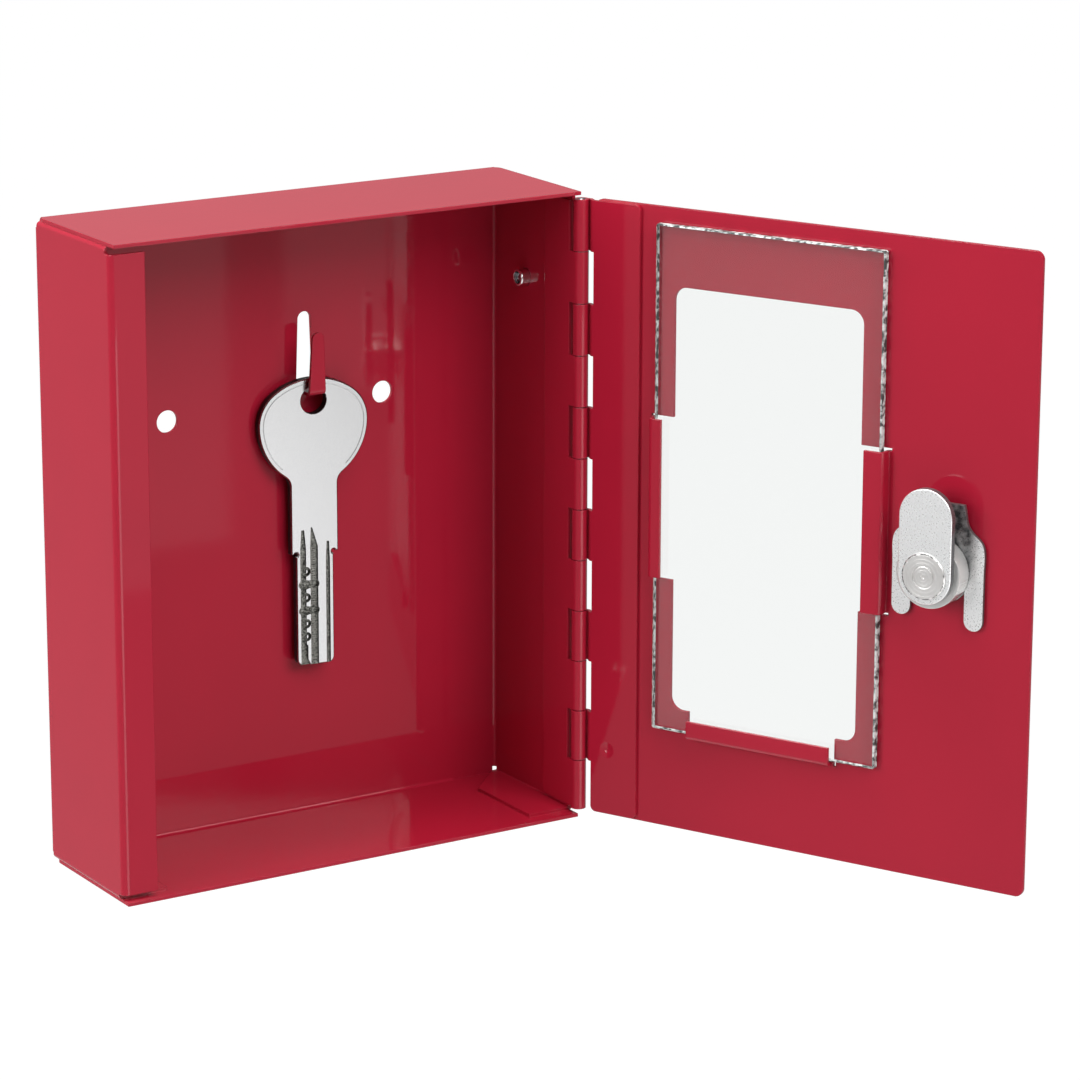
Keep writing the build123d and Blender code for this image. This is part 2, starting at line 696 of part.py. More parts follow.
# ---- spring clip that holds the lock against the door ------------------------------------------
clip_low = sheet + (groove_width - clip_sheet) / 2
with BuildPart() as lock_clip:
    side_view = lock_plane(clip_low + clip_sheet / 2)
    with BuildSketch(Plane(origin=side_view.origin, x_dir=upright, z_dir=upright.cross(inward))):
        with BuildLine():
            flat = Line((-clip_leg_drop - sheet, 0), (groove_diameter / 2 + clip_play, 0))
            TangentArc(flat @ 1, (clip_top + clip_sheet, clip_rise), tangent=flat % 1)
        trace(line_width=clip_sheet)
    extrude(amount=2 * clip_half_width, both=True)
    with BuildSketch(lock_plane(0)):
        with BuildLine():
            leg_outer = clip_half_width
            leg_inner = clip_half_width - clip_leg_width
            leg_middle = clip_half_width - clip_leg_width / 2
            leg_end = clip_leg_drop - clip_leg_width / 2
            short_end = leg_end - clip_short_leg
            Line((leg_outer, -leg_end), (leg_outer, 0))
            Spline(
                (leg_outer, 0),
                (clip_shoulder_half_width, clip_shoulder),
                (clip_neck_half_width, clip_neck_start),
                tangents=((0, 1), (0, 1)),
            )
            Polyline(
                (clip_neck_half_width, clip_neck_start),
                (clip_neck_half_width, clip_top),
                (-clip_neck_half_width, clip_top),
                (-clip_neck_half_width, clip_neck_start),
            )
            Spline(
                (-clip_neck_half_width, clip_neck_start),
                (-clip_shoulder_half_width, clip_shoulder),
                (-leg_outer, 0),
                tangents=((0, -1), (0, -1)),
            )
            Line((-leg_outer, 0), (-leg_outer, -short_end))
            ThreePointArc(
                (-leg_outer, -short_end),
                (-leg_middle, -short_end - clip_leg_width / 2),
                (-leg_inner, -short_end),
            )
            Line((-leg_inner, -short_end), (-leg_inner, 0))
            ThreePointArc((-leg_inner, 0), (0, leg_inner), (leg_inner, 0))
            Line((leg_inner, 0), (leg_inner, -leg_end))
            ThreePointArc(
                (leg_inner, -leg_end),
                (leg_middle, -leg_end - clip_leg_width / 2),
                (leg_outer, -leg_end),
            )
        make_face()
    extrude(amount=lock_body_depth, mode=Mode.INTERSECT)
lock_clip.part.label = "lock_clip"
export_step(lock_clip.part, "parts/lock_clip.step")

# ---- key ---------------------------------------------------------------------------------------
twist = radians(key_twist)
hole_radius = key_hole / 2
hook_half = hook_root_width / 2
hole_rise = sqrt(hole_radius**2 - hook_half**2)
hole_z = hook_root + key_hole_gap - hole_rise
key_middle = back - sheet - key_setback - key_thickness / 2
key_plane = Plane(
    origin=(hook_offset, key_middle, hole_z),
    x_dir=(cos(twist), -sin(twist), 0),
    z_dir=(-sin(twist), -cos(twist), 0),
)
key_front = key_plane.offset(key_thickness / 2)
key_back = Plane(
    origin=key_plane.offset(-key_thickness / 2).origin,
    x_dir=-key_plane.x_dir,
    z_dir=-key_plane.z_dir,
)

corner_centre_x = bow_half_width - bow_corner_radius
radius_step = bow_top_radius - bow_corner_radius
top_centre_y = bow_top - bow_top_radius
corner_centre_y = top_centre_y + sqrt(radius_step**2 - corner_centre_x**2)
corner_angle = degrees(atan2(corner_centre_y - top_centre_y, corner_centre_x))
side_centre_x = bow_half_width - bow_side_radius
side_angle = degrees(acos((shank_half_width - side_centre_x) / bow_side_radius))
neck_y = corner_centre_y - bow_side_radius * sin(radians(side_angle))


grooves = [
    (side_groove_start, side_groove_tip_start, side_groove_tip_end, side_groove_end, side_groove_top),
    (mid_groove_start, mid_groove_tip_start, mid_groove_tip_end, mid_groove_end, mid_groove_top),
    (thin_groove_start, thin_groove_tip_start, thin_groove_tip_end, thin_groove_end, thin_groove_top),
]
pocket_middle = (pocket_start + pocket_end) / 2
with BuildPart() as emergency_key:
    with BuildSketch(key_plane.offset(-key_thickness / 2)) as blank:
        with BuildLine():
            CenterArc((0, top_centre_y), bow_top_radius, corner_angle, 90 - corner_angle)
            CenterArc((corner_centre_x, corner_centre_y), bow_corner_radius, 0, corner_angle)
            CenterArc((side_centre_x, corner_centre_y), bow_side_radius, -side_angle, side_angle)
            Polyline(
                (shank_half_width, neck_y),
                (shank_half_width, -shank_bottom),
                (blade_half_width, -shank_bottom),
                (blade_half_width, -blade_bottom),
                (0, -blade_bottom),
            )
            mirror(about=Plane.YZ)
        make_face()
        necks = blank.vertices().filter_by(lambda v: abs(v.Y - neck_y) < shoulder_relief)
        fillet(necks, bow_neck_fillet)
        tip = blank.vertices().group_by(Axis.Y)[0].sort_by(Axis.X)
        fillet([tip[0], tip[-1]], blade_tip_radius)
        Circle(hole_radius, mode=Mode.SUBTRACT)
        with Locations((-blade_half_width, -shank_bottom), (blade_half_width, -shank_bottom)):
            Circle(shoulder_relief, mode=Mode.SUBTRACT)
    extrude(amount=key_thickness)
    for rim in emergency_key.faces().filter_by(Axis(key_plane.origin, key_plane.z_dir)):
        chamfer(rim.outer_wire().edges(), key_edge)
    # the same milling on both faces, so that the key also works turned round
    for face in (key_front, key_back):
        # thin border line that follows the bow's outline
        with BuildSketch(face):
            with BuildLine():
                CenterArc(
                    (0, top_centre_y), bow_top_radius - bow_border, corner_angle, 90 - corner_angle
                )
                CenterArc(
                    (corner_centre_x, corner_centre_y), bow_corner_radius - bow_border, 0, corner_angle
                )
                CenterArc(
                    (side_centre_x, corner_centre_y),
                    bow_side_radius - bow_border,
                    bow_border_stop - side_angle,
                    side_angle - bow_border_stop,
                )
                mirror(about=Plane.YZ)
            trace(line_width=bow_border_width)
        extrude(amount=-bow_border_depth, mode=Mode.SUBTRACT)
        # grooves along the blade, each running out to a tip at its top
        for start, tip_start, tip_end, end, level in grooves:
            with BuildSketch(face):
                with BuildLine():
                    Polyline(
                        (start, -blade_bottom),
                        (start, -level - groove_taper),
                        (tip_start, -level),
                        (tip_end, -level),
                        (end, -level - groove_taper),
                        (end, -blade_bottom),
                        close=True,
                    )
                make_face()
            extrude(amount=-groove_depth, mode=Mode.SUBTRACT)
        # winding track down to its mouth in the blade's tip
        with BuildSketch(face):
            with BuildLine():
                for number in range(track_half_waves):
                    high = -track_top - number * track_wave / 2
                    swing = track_swing if number % 2 else -track_swing
                    ThreePointArc(
                        (track_middle, high),
                        (track_middle + swing, high - track_wave / 4),
                        (track_middle, high - track_wave / 2),
                    )
                Line((track_middle, high - track_wave / 2), (track_middle, -blade_bottom))
            trace(line_width=track_width)
            with BuildLine():
                Polyline(
                    (track_middle - track_mouth / 2, -blade_bottom),
                    (track_middle, -blade_bottom + track_mouth),
                    (track_middle + track_mouth / 2, -blade_bottom),
                    close=True,
                )
            make_face()
        extrude(amount=-track_depth, mode=Mode.SUBTRACT)
        # pockets across the track, with a deeper dimple at one end of each
        for number in range(pocket_count):
            level = -pocket_top - number * pocket_pitch
            with BuildSketch(face):
                with Locations((pocket_middle, level)):
                    SlotOverall(pocket_end - pocket_start, pocket_height)
            extrude(amount=-pocket_depth, mode=Mode.SUBTRACT)
            with BuildSketch(face):
                with Locations((dimple_middle, level)):
                    Circle(pocket_height / 2)
            extrude(amount=-dimple_depth, mode=Mode.SUBTRACT)
emergency_key.part.label = "emergency_key"
export_step(emergency_key.part, "parts/emergency_key.step")
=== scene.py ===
"""Looks of the break glass key box: enamelled case and door, clear pane, plated cam lock, hanging key."""

import json
import logging
import math
from dataclasses import dataclass, field
from enum import Enum
from typing import Any

import bmesh
import bpy
from mathutils import Matrix, Vector

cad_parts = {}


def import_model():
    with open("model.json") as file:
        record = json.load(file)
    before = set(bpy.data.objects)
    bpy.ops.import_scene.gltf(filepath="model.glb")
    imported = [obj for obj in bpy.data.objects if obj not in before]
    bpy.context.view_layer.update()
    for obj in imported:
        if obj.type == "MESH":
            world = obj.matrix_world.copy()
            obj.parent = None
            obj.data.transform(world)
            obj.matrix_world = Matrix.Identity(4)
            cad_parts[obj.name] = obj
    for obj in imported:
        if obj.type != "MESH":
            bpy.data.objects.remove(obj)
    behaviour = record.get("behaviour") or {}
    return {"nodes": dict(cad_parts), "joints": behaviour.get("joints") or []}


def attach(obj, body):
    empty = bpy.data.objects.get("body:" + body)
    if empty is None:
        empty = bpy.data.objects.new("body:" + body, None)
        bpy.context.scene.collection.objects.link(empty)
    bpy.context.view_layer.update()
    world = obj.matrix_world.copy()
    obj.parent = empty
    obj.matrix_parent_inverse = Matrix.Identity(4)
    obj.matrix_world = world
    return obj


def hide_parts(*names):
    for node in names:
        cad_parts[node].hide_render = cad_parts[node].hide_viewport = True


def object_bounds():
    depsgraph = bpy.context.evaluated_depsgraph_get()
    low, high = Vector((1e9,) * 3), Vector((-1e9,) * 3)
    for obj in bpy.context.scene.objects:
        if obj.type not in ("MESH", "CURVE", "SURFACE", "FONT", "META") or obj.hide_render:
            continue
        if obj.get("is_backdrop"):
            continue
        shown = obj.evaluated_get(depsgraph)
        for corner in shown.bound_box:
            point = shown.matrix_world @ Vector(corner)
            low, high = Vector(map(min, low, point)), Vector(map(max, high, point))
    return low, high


LOG = logging.getLogger("key_box")
MM = 0.001
UP = Vector((0.0, 0.0, 1.0))
WHITE = (1.0, 1.0, 1.0, 1.0)
BEVEL_SAMPLES = 4
# a ball one unit across with few faces, which its scale makes a dark dash of painted shade or a rib
SMALL_BALL = {"Radius": 0.5, "Subdivisions": 2}


# ---- helpers -----------------------------------------------------------------------------


def linear(hex_colour: str) -> tuple[float, float, float, float]:
    """Turn an sRGB hex colour into linear RGBA.

    Args:
        hex_colour: six hex digits, such as "b01c2e".

    Returns:
        The linear colour, with an alpha of 1.
    """
    levels = [int(hex_colour[i : i + 2], 16) / 255 for i in (0, 2, 4)]
    red, green, blue = (v / 12.92 if v <= 0.04045 else ((v + 0.055) / 1.055) ** 2.4 for v in levels)
    return red, green, blue, 1.0


def add_node(
    tree: bpy.types.NodeTree, kind: str, inputs: dict[Any, Any] | None = None, **settings: Any
) -> bpy.types.Node:
    """Add a node, set its properties, and set or link its inputs.

    Args:
        tree: the node tree that gets the node.
        kind: the node's type, such as "ShaderNodeMath".
        inputs: input socket name or number to a value, or to an output socket to link from.
        settings: the node's own properties.

    Returns:
        The new node.
    """
    node = tree.nodes.new(kind)
    for name, value in settings.items():
        setattr(node, name, value)
    for socket, value in (inputs or {}).items():
        if isinstance(value, bpy.types.NodeSocket):
            tree.links.new(value, node.inputs[socket])
        else:
            node.inputs[socket].default_value = value
    return node


def new_material(name: str) -> tuple[bpy.types.Material, bpy.types.NodeTree, bpy.types.Node]:
    """Make an empty node material.

    Args:
        name: the material's name.

    Returns:
        The material, its tree and its output node.
    """
    material = bpy.data.materials.new(name)
    material.use_nodes = True
    material.node_tree.nodes.clear()
    output = add_node(material.node_tree, "ShaderNodeOutputMaterial")
    return material, material.node_tree, output


def set_material(piece: bpy.types.Object, *materials: bpy.types.Material) -> None:
    """Give a piece its materials, in slot order."""
    piece.data.materials.clear()
    for material in materials:
        piece.data.materials.append(material)


def new_piece(name: str, mesh: bpy.types.Mesh, body: str) -> bpy.types.Object:
    """Put a finished mesh into the scene as a piece of the object.

    Args:
        name: the piece's name.
        mesh: its mesh, already in its place.
        body: the body that it moves with.

    Returns:
        The piece.
    """
    piece = bpy.data.objects.new(name, mesh)
    bpy.context.scene.collection.objects.link(piece)
    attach(piece, body)
    LOG.info("made %s: %d faces, rides on %s", name, len(mesh.polygons), body)
    return piece


def grown_mesh(tree: bpy.types.NodeTree, values: dict[str, Any]) -> bpy.types.Mesh:
    """Run a Geometry Nodes tree and keep what it makes as a plain mesh.

    Args:
        tree: the tree.
        values: the tree's input names to their values.

    Returns:
        The mesh, with the tree's material in its first slot.
    """
    carrier = bpy.data.objects.new("carrier", bpy.data.meshes.new("carrier"))
    bpy.context.scene.collection.objects.link(carrier)
    modifier = carrier.modifiers.new("grow", "NODES")
    modifier.node_group = tree
    for item in tree.interface.items_tree:
        if item.item_type == "SOCKET" and item.in_out == "INPUT" and item.name in values:
            modifier[item.identifier] = values[item.name]
    graph = bpy.context.evaluated_depsgraph_get()
    mesh = bpy.data.meshes.new_from_object(carrier.evaluated_get(graph), depsgraph=graph)
    carrier.modifiers.remove(modifier)
    bpy.data.objects.remove(carrier)
    return mesh


@dataclass(frozen=True)
class Place:
    """A turned frame of reference on the object: an origin and three axes."""

    origin: Vector
    across: Vector
    rise: Vector
    out: Vector

    def matrix(self) -> Matrix:
        """Give the matrix from this place to the object's frame."""
        turned = Matrix((self.across, self.rise, self.out)).transposed().to_4x4()
        return Matrix.Translation(self.origin) @ turned

    def box(self, node: bpy.types.Object) -> tuple[Vector, Vector]:
        """Measure a node along this place's axes.

        Args:
            node: the node to measure.

        Returns:
            Its lowest and highest corners in this place's coordinates.
        """
        back = self.matrix().inverted()
        points = [back @ vertex.co for vertex in node.data.vertices]
        low = Vector(min(point[i] for point in points) for i in range(3))
        high = Vector(max(point[i] for point in points) for i in range(3))
        return low, high

    def coordinates(self, tree: bpy.types.NodeTree) -> bpy.types.NodeSocket:
        """Add the nodes that give a surface point in this place's coordinates.

        Args:
            tree: the material's tree.

        Returns:
            The vector output, in metres.
        """
        spot = add_node(tree, "ShaderNodeTexCoord").outputs["Object"]
        mapping = add_node(
            tree,
            "ShaderNodeMapping",
            {"Vector": spot, "Location": self.origin, "Rotation": self.matrix().to_euler()},
            vector_type="TEXTURE",
        )
        return mapping.outputs["Vector"]


def edge_share(
    tree: bpy.types.NodeTree, place: Place, facing: tuple[float, float]
) -> bpy.types.NodeSocket:
    """Add the nodes that tell a flat part's edges from its faces.

    Args:
        tree: the material's tree.
        place: the part's place, with its faces square to the outward axis.
        facing: how far a surface faces along that axis where its edge ends and where its face begins.

    Returns:
        The share, 1 on the edges and 0 on the faces.
    """
    way = add_node(tree, "ShaderNodeTexCoord").outputs["Normal"]
    along = add_node(tree, "ShaderNodeVectorMath", {0: way, 1: place.out}, operation="DOT_PRODUCT")
    flat = add_node(tree, "ShaderNodeMath", {0: along.outputs["Value"]}, operation="ABSOLUTE")
    edge_end, face_start = facing
    share = add_node(
        tree,
        "ShaderNodeMapRange",
        {
            "Value": flat.outputs[0],
            "From Min": edge_end,
            "From Max": face_start,
            "To Min": 1.0,
            "To Max": 0.0,
        },
    )
    return share.outputs["Result"]


# ---- finishes ----------------------------------------------------------------------------


@dataclass(frozen=True)
class StovingEnamel:
    """Red stoving enamel, sprayed on sheet steel and baked: glossy, with a fine orange peel."""

    name: str = "red_stoving_enamel"
    colour: str = "af1d34"
    shade: str = "a71b32"
    roughness: float = 0.035
    roughness_spread: tuple[float, float] = (0.8, 1.25)
    ior: float = 1.42
    cloud_mm: float = 30.0
    peel_mm: float = 1.6
    peel_fineness: float = 0.35
    peel_depth_mm: float = 0.0015
    grain_mm: float = 0.7
    grain_share: float = 0.12
    edge_round_mm: float = 0.3

    def material(self) -> bpy.types.Material:
        """Build the enamel."""
        material, tree, output = new_material(self.name)
        spot = add_node(tree, "ShaderNodeTexCoord").outputs["Object"]
        cloud = add_node(
            tree, "ShaderNodeTexNoise", {"Vector": spot, "Scale": 1 / (self.cloud_mm * MM), "Detail": 2.0}
        )
        colour = add_node(
            tree,
            "ShaderNodeMix",
            {"Factor": cloud.outputs["Fac"], 6: linear(self.shade), 7: linear(self.colour)},
            data_type="RGBA",
        )
        peel = add_node(
            tree,
            "ShaderNodeTexNoise",
            {
                "Vector": spot,
                "Scale": 1 / (self.peel_mm * MM),
                "Detail": 1.0,
                "Roughness": self.peel_fineness,
            },
        )
        grain = add_node(
            tree, "ShaderNodeTexNoise", {"Vector": spot, "Scale": 1 / (self.grain_mm * MM), "Detail": 1.0}
        )
        height = add_node(
            tree,
            "ShaderNodeMath",
            {0: grain.outputs["Fac"], 1: self.grain_share, 2: peel.outputs["Fac"]},
            operation="MULTIPLY_ADD",
        )
        rounded = add_node(
            tree, "ShaderNodeBevel", {"Radius": self.edge_round_mm * MM}, samples=BEVEL_SAMPLES
        )
        bump = add_node(
            tree,
            "ShaderNodeBump",
            {
                "Height": height.outputs[0],
                "Distance": self.peel_depth_mm * MM,
                "Strength": 1.0,
                "Normal": rounded.outputs["Normal"],
            },
        )
        smoothest, dullest = (self.roughness * share for share in self.roughness_spread)
        gloss = add_node(
            tree,
            "ShaderNodeMapRange",
            {"Value": cloud.outputs["Fac"], "To Min": smoothest, "To Max": dullest},
        )
        shader = add_node(
            tree,
            "ShaderNodeBsdfPrincipled",
            {
                "Base Color": colour.outputs[2],
                "Roughness": gloss.outputs["Result"],
                "IOR": self.ior,
                "Normal": bump.outputs["Normal"],
            },
        )
        tree.links.new(shader.outputs["BSDF"], output.inputs["Surface"])
        return material


@dataclass(frozen=True)
class Plating:
    """Bright plating or bare bright metal on a pressed, cast or drawn part, with faint mottling."""

    name: str
    colour: str
    shade: str
    roughness: float
    metallic: float = 1.0
    roughness_spread: tuple[float, float] = (0.95, 1.08)
    cloud_mm: float = 3.0
    grain_mm: float = 0.3
    grain_levels: tuple[float, float] = (0.3, 0.7)
    edge_round_mm: float = 0.15

    def shader(self, tree: bpy.types.NodeTree) -> bpy.types.Node:
        """Add the plating's shader to a tree.

        Args:
            tree: the material's tree.

        Returns:
            The Principled node.
        """
        spot = add_node(tree, "ShaderNodeTexCoord").outputs["Object"]
        cloud = add_node(
            tree, "ShaderNodeTexNoise", {"Vector": spot, "Scale": 1 / (self.cloud_mm * MM), "Detail": 4.0}
        )
        grain = add_node(
            tree, "ShaderNodeTexNoise", {"Vector": spot, "Scale": 1 / (self.grain_mm * MM), "Detail": 3.0}
        )
        colour = add_node(
            tree,
            "ShaderNodeMix",
            {"Factor": cloud.outputs["Fac"], 6: linear(self.shade), 7: linear(self.colour)},
            data_type="RGBA",
        )
        low, high = self.grain_levels
        smoothest, dullest = (self.roughness * share for share in self.roughness_spread)
        gloss = add_node(
            tree,
            "ShaderNodeMapRange",
            {
                "Value": grain.outputs["Fac"],
                "From Min": low,
                "From Max": high,
                "To Min": smoothest,
                "To Max": dullest,
            },
        )
        rounded = add_node(
            tree, "ShaderNodeBevel", {"Radius": self.edge_round_mm * MM}, samples=BEVEL_SAMPLES
        )
        return add_node(
            tree,
            "ShaderNodeBsdfPrincipled",
            {
                "Base Color": colour.outputs[2],
                "Metallic": self.metallic,
                "Roughness": gloss.outputs["Result"],
                "Normal": rounded.outputs["Normal"],
            },
        )

    def material(self) -> bpy.types.Material:
        """Build the plating."""
        material, tree, output = new_material(self.name)
        tree.links.new(self.shader(tree).outputs["BSDF"], output.inputs["Surface"])
        return material


class Metal(Enum):
    """The metals of the lock, the key's ribs, the hinge pin and the rivet."""

    # nickel plating over a zinc die casting: a slightly warm, softly shining grey
    NICKEL = Plating("bright_nickel_plating", "f0efed", "e6e4e2", 0.2, 0.7)
    # zinc plating with clear passivation over steel: cooler, duller and more scattering
    ZINC = Plating("clear_zinc_plating", "f3f4f4", "eeefef", 0.28, 0.7)
    # aluminium rivet body, bare from the drawing die
    ALUMINIUM = Plating("bare_drawn_aluminium", "f0f0f1", "e2e2e4", 0.16)
    # mandrel of plain carbon steel: darker and smoother than the rivet round it
    MANDREL_STEEL = Plating("polished_carbon_steel", "9a9a9c", "858588", 0.12)
    # drawn steel pin, a little oily
    PIN_STEEL = Plating("drawn_steel_wire", "b8b8ba", "a2a2a6", 0.3)
    # brass wafers, blanked and tumbled
    BRASS = Plating("tumbled_brass", "e2c078", "cfa85c", 0.3)
    # phosphor bronze spring wire
    SPRING_WIRE = Plating("phosphor_bronze_wire", "c9966a", "b58257", 0.25)
    # painted shade: dark dashes that stand in for the shadowed gap round the spun-over tail
    SHADE_DASH = Plating("dark_shade_dash", "5c5c5e", "38383a", 0.45)
    # nickel silver torn up by the cutter: rougher and darker than the key's faces
    MILLED_RIB = Plating("milled_rib_metal", "8b8b86", "4b4b47", 0.35)


@dataclass(frozen=True)
class FloatGlass:
    """Clear float glass: flat fire-polished faces that mirror a little of the room."""

    name: str = "clear_float_glass"
    colour: str = "f5f7f6"
    shadow_colour: str = "fafbfb"
    ior: float = 1.5

    def material(self) -> bpy.types.Material:
        """Build the glass."""
        material, tree, output = new_material(self.name)
        shader = add_node(
            tree,
            "ShaderNodeBsdfPrincipled",
            {
                "Base Color": linear(self.colour),
                "Roughness": 0.0,
                "IOR": self.ior,
                "Transmission Weight": 1.0,
            },
        )
        # light from lamps and from the room goes straight through, as it does through a thin flat pane
        path = add_node(tree, "ShaderNodeLightPath")
        clear = add_node(tree, "ShaderNodeBsdfTransparent", {"Color": linear(self.shadow_colour)})
        lit = add_node(
            tree,
            "ShaderNodeMixShader",
            {0: path.outputs["Is Shadow Ray"], 1: shader.outputs["BSDF"], 2: clear.outputs["BSDF"]},
        )
        mixed = add_node(
            tree,
            "ShaderNodeMixShader",
            {0: path.outputs["Is Diffuse Ray"], 1: lit.outputs["Shader"], 2: clear.outputs["BSDF"]},
        )
        tree.links.new(mixed.outputs["Shader"], output.inputs["Surface"])
        return material


@dataclass(frozen=True)
class CutGlassEdge:
    """Cut and hand-seamed edge of the pane: frosted, with dark and bright flakes where it chipped."""

    name: str = "seamed_glass_edge"
    frosted: str = "d9e2e0"
    chipped: str = "39403f"
    chip_mm: float = 1.3
    chip_levels: tuple[float, float] = (0.42, 0.58)
    chip_depth_mm: float = 0.15
    roughness: float = 0.35

    def material(self) -> bpy.types.Material:
        """Build the edge."""
        material, tree, output = new_material(self.name)
        spot = add_node(tree, "ShaderNodeTexCoord").outputs["Object"]
        chips = add_node(
            tree, "ShaderNodeTexNoise", {"Vector": spot, "Scale": 1 / (self.chip_mm * MM), "Detail": 3.0}
        )
        low, high = self.chip_levels
        edges = add_node(
            tree, "ShaderNodeMapRange", {"Value": chips.outputs["Fac"], "From Min": low, "From Max": high}
        )
        colour = add_node(
            tree,
            "ShaderNodeMix",
            {"Factor": edges.outputs["Result"], 6: linear(self.chipped), 7: linear(self.frosted)},
            data_type="RGBA",
        )
        bump = add_node(
            tree,
            "ShaderNodeBump",
            {"Height": chips.outputs["Fac"], "Distance": self.chip_depth_mm * MM, "Strength": 1.0},
        )
        shader = add_node(
            tree,
            "ShaderNodeBsdfPrincipled",
            {
                "Base Color": colour.outputs[2],
                "Roughness": self.roughness,
                "Normal": bump.outputs["Normal"],
            },
        )
        tree.links.new(shader.outputs["BSDF"], output.inputs["Surface"])
        return material


@dataclass(frozen=True)
class MilledNickelSilver:
    """Nickel silver key: satin faces, sides painted nearly black as shade, and dark rough cutter marks in the
    milled grooves.
    """

    name: str = "milled_nickel_silver"
    face: str = "bababa"
    face_shade: str = "aeaeaf"
    # painted shade: the key's sides are coloured nearly black, standing in for the dark they fall into and
    # mirror
    edge: str = "2e302f"
    cut: str = "8c8c86"
    cut_shade: str = "333331"
    roughness: float = 0.24
    cut_roughness: float = 0.42
    speckle_mm: float = 0.35
    speckle_share: float = 0.06
    cutter_mark_mm: float = 0.38
    cutter_mark_sway: float = 0.6
    cutter_mark_levels: tuple[float, float] = (0.38, 0.62)
    texture_depth_mm: float = 0.06
    edge_facing: tuple[float, float] = (0.3, 0.5)
    edge_round_mm: float = 0.08
    depth_start_mm: float = 0.12
    depth_full_mm: float = 0.3

    def material(
        self, place: Place, half_thickness: float, blade_top: float, blade_half: float
    ) -> bpy.types.Material:
        """Build the key's metal.

        Args:
            place: the key's own place, with its faces square to the outward axis.
            half_thickness: half the key's thickness.
            blade_top: the level of the highest groove.
            blade_half: half the width within which the blade is milled.

        Returns:
            The material.
        """
        material, tree, output = new_material(self.name)
        spot = place.coordinates(tree)
        axes = add_node(tree, "ShaderNodeSeparateXYZ", {"Vector": spot})
        off_middle = add_node(tree, "ShaderNodeMath", {0: axes.outputs["Z"]}, operation="ABSOLUTE")
        sunk = add_node(
            tree,
            "ShaderNodeMapRange",
            {
                "Value": off_middle.outputs[0],
                "From Min": half_thickness - self.depth_start_mm * MM,
                "From Max": half_thickness - self.depth_full_mm * MM,
            },
        )
        aside = add_node(tree, "ShaderNodeMath", {0: axes.outputs["X"]}, operation="ABSOLUTE")
        within = add_node(tree, "ShaderNodeMath", {0: aside.outputs[0], 1: blade_half}, operation="LESS_THAN")
        below = add_node(tree, "ShaderNodeMath", {0: axes.outputs["Y"], 1: blade_top}, operation="LESS_THAN")
        blade = add_node(
            tree, "ShaderNodeMath", {0: within.outputs[0], 1: below.outputs[0]}, operation="MULTIPLY"
        )
        milled = add_node(
            tree, "ShaderNodeMath", {0: sunk.outputs["Result"], 1: blade.outputs[0]}, operation="MULTIPLY"
        )
        speckle = add_node(
            tree, "ShaderNodeTexNoise", {"Vector": spot, "Scale": 1 / (self.speckle_mm * MM), "Detail": 3.0}
        )
        marks = add_node(
            tree,
            "ShaderNodeTexNoise",
            {
                "Vector": spot,
                "Scale": 1 / (self.cutter_mark_mm * MM),
                "Detail": 2.0,
                "Distortion": self.cutter_mark_sway,
            },
        )
        low, high = self.cutter_mark_levels
        contrast = add_node(
            tree, "ShaderNodeMapRange", {"Value": marks.outputs["Fac"], "From Min": low, "From Max": high}
        )
        face = add_node(
            tree,
            "ShaderNodeMix",
            {"Factor": speckle.outputs["Fac"], 6: linear(self.face_shade), 7: linear(self.face)},
            data_type="RGBA",
        )
        cut = add_node(
            tree,
            "ShaderNodeMix",
            {"Factor": contrast.outputs["Result"], 6: linear(self.cut_shade), 7: linear(self.cut)},
            data_type="RGBA",
        )
        # the key's sides, which get the painted shade colour
        shaded_side = edge_share(tree, place, self.edge_facing)
        side_shaded = add_node(
            tree, "ShaderNodeMix", {"Factor": shaded_side, 6: face.outputs[2], 7: linear(self.edge)}, data_type="RGBA"
        )
        colour = add_node(
            tree,
            "ShaderNodeMix",
            {"Factor": milled.outputs[0], 6: side_shaded.outputs[2], 7: cut.outputs[2]},
            data_type="RGBA",
        )
        dull = add_node(tree, "ShaderNodeMath", {0: milled.outputs[0], 1: shaded_side}, operation="MAXIMUM")
        gloss = add_node(
            tree,
            "ShaderNodeMapRange",
            {"Value": dull.outputs[0], "To Min": self.roughness, "To Max": self.cut_roughness},
        )
        relief = add_node(
            tree, "ShaderNodeMath", {0: marks.outputs["Fac"], 1: milled.outputs[0]}, operation="MULTIPLY"
        )
        texture = add_node(
            tree,
            "ShaderNodeMath",
            {0: speckle.outputs["Fac"], 1: self.speckle_share, 2: relief.outputs[0]},
            operation="MULTIPLY_ADD",
        )
        rounded = add_node(
            tree, "ShaderNodeBevel", {"Radius": self.edge_round_mm * MM}, samples=BEVEL_SAMPLES
        )
        bump = add_node(
            tree,
            "ShaderNodeBump",
            {
                "Height": texture.outputs[0],
                "Distance": self.texture_depth_mm * MM,
                "Strength": 1.0,
                "Normal": rounded.outputs["Normal"],
            },
        )
        shader = add_node(
            tree,
            "ShaderNodeBsdfPrincipled",
            {
                "Base Color": colour.outputs[2],
                "Metallic": 1.0,
                "Roughness": gloss.outputs["Result"],
                "Normal": bump.outputs["Normal"],
            },
        )
        tree.links.new(shader.outputs["BSDF"], output.inputs["Surface"])
        return material


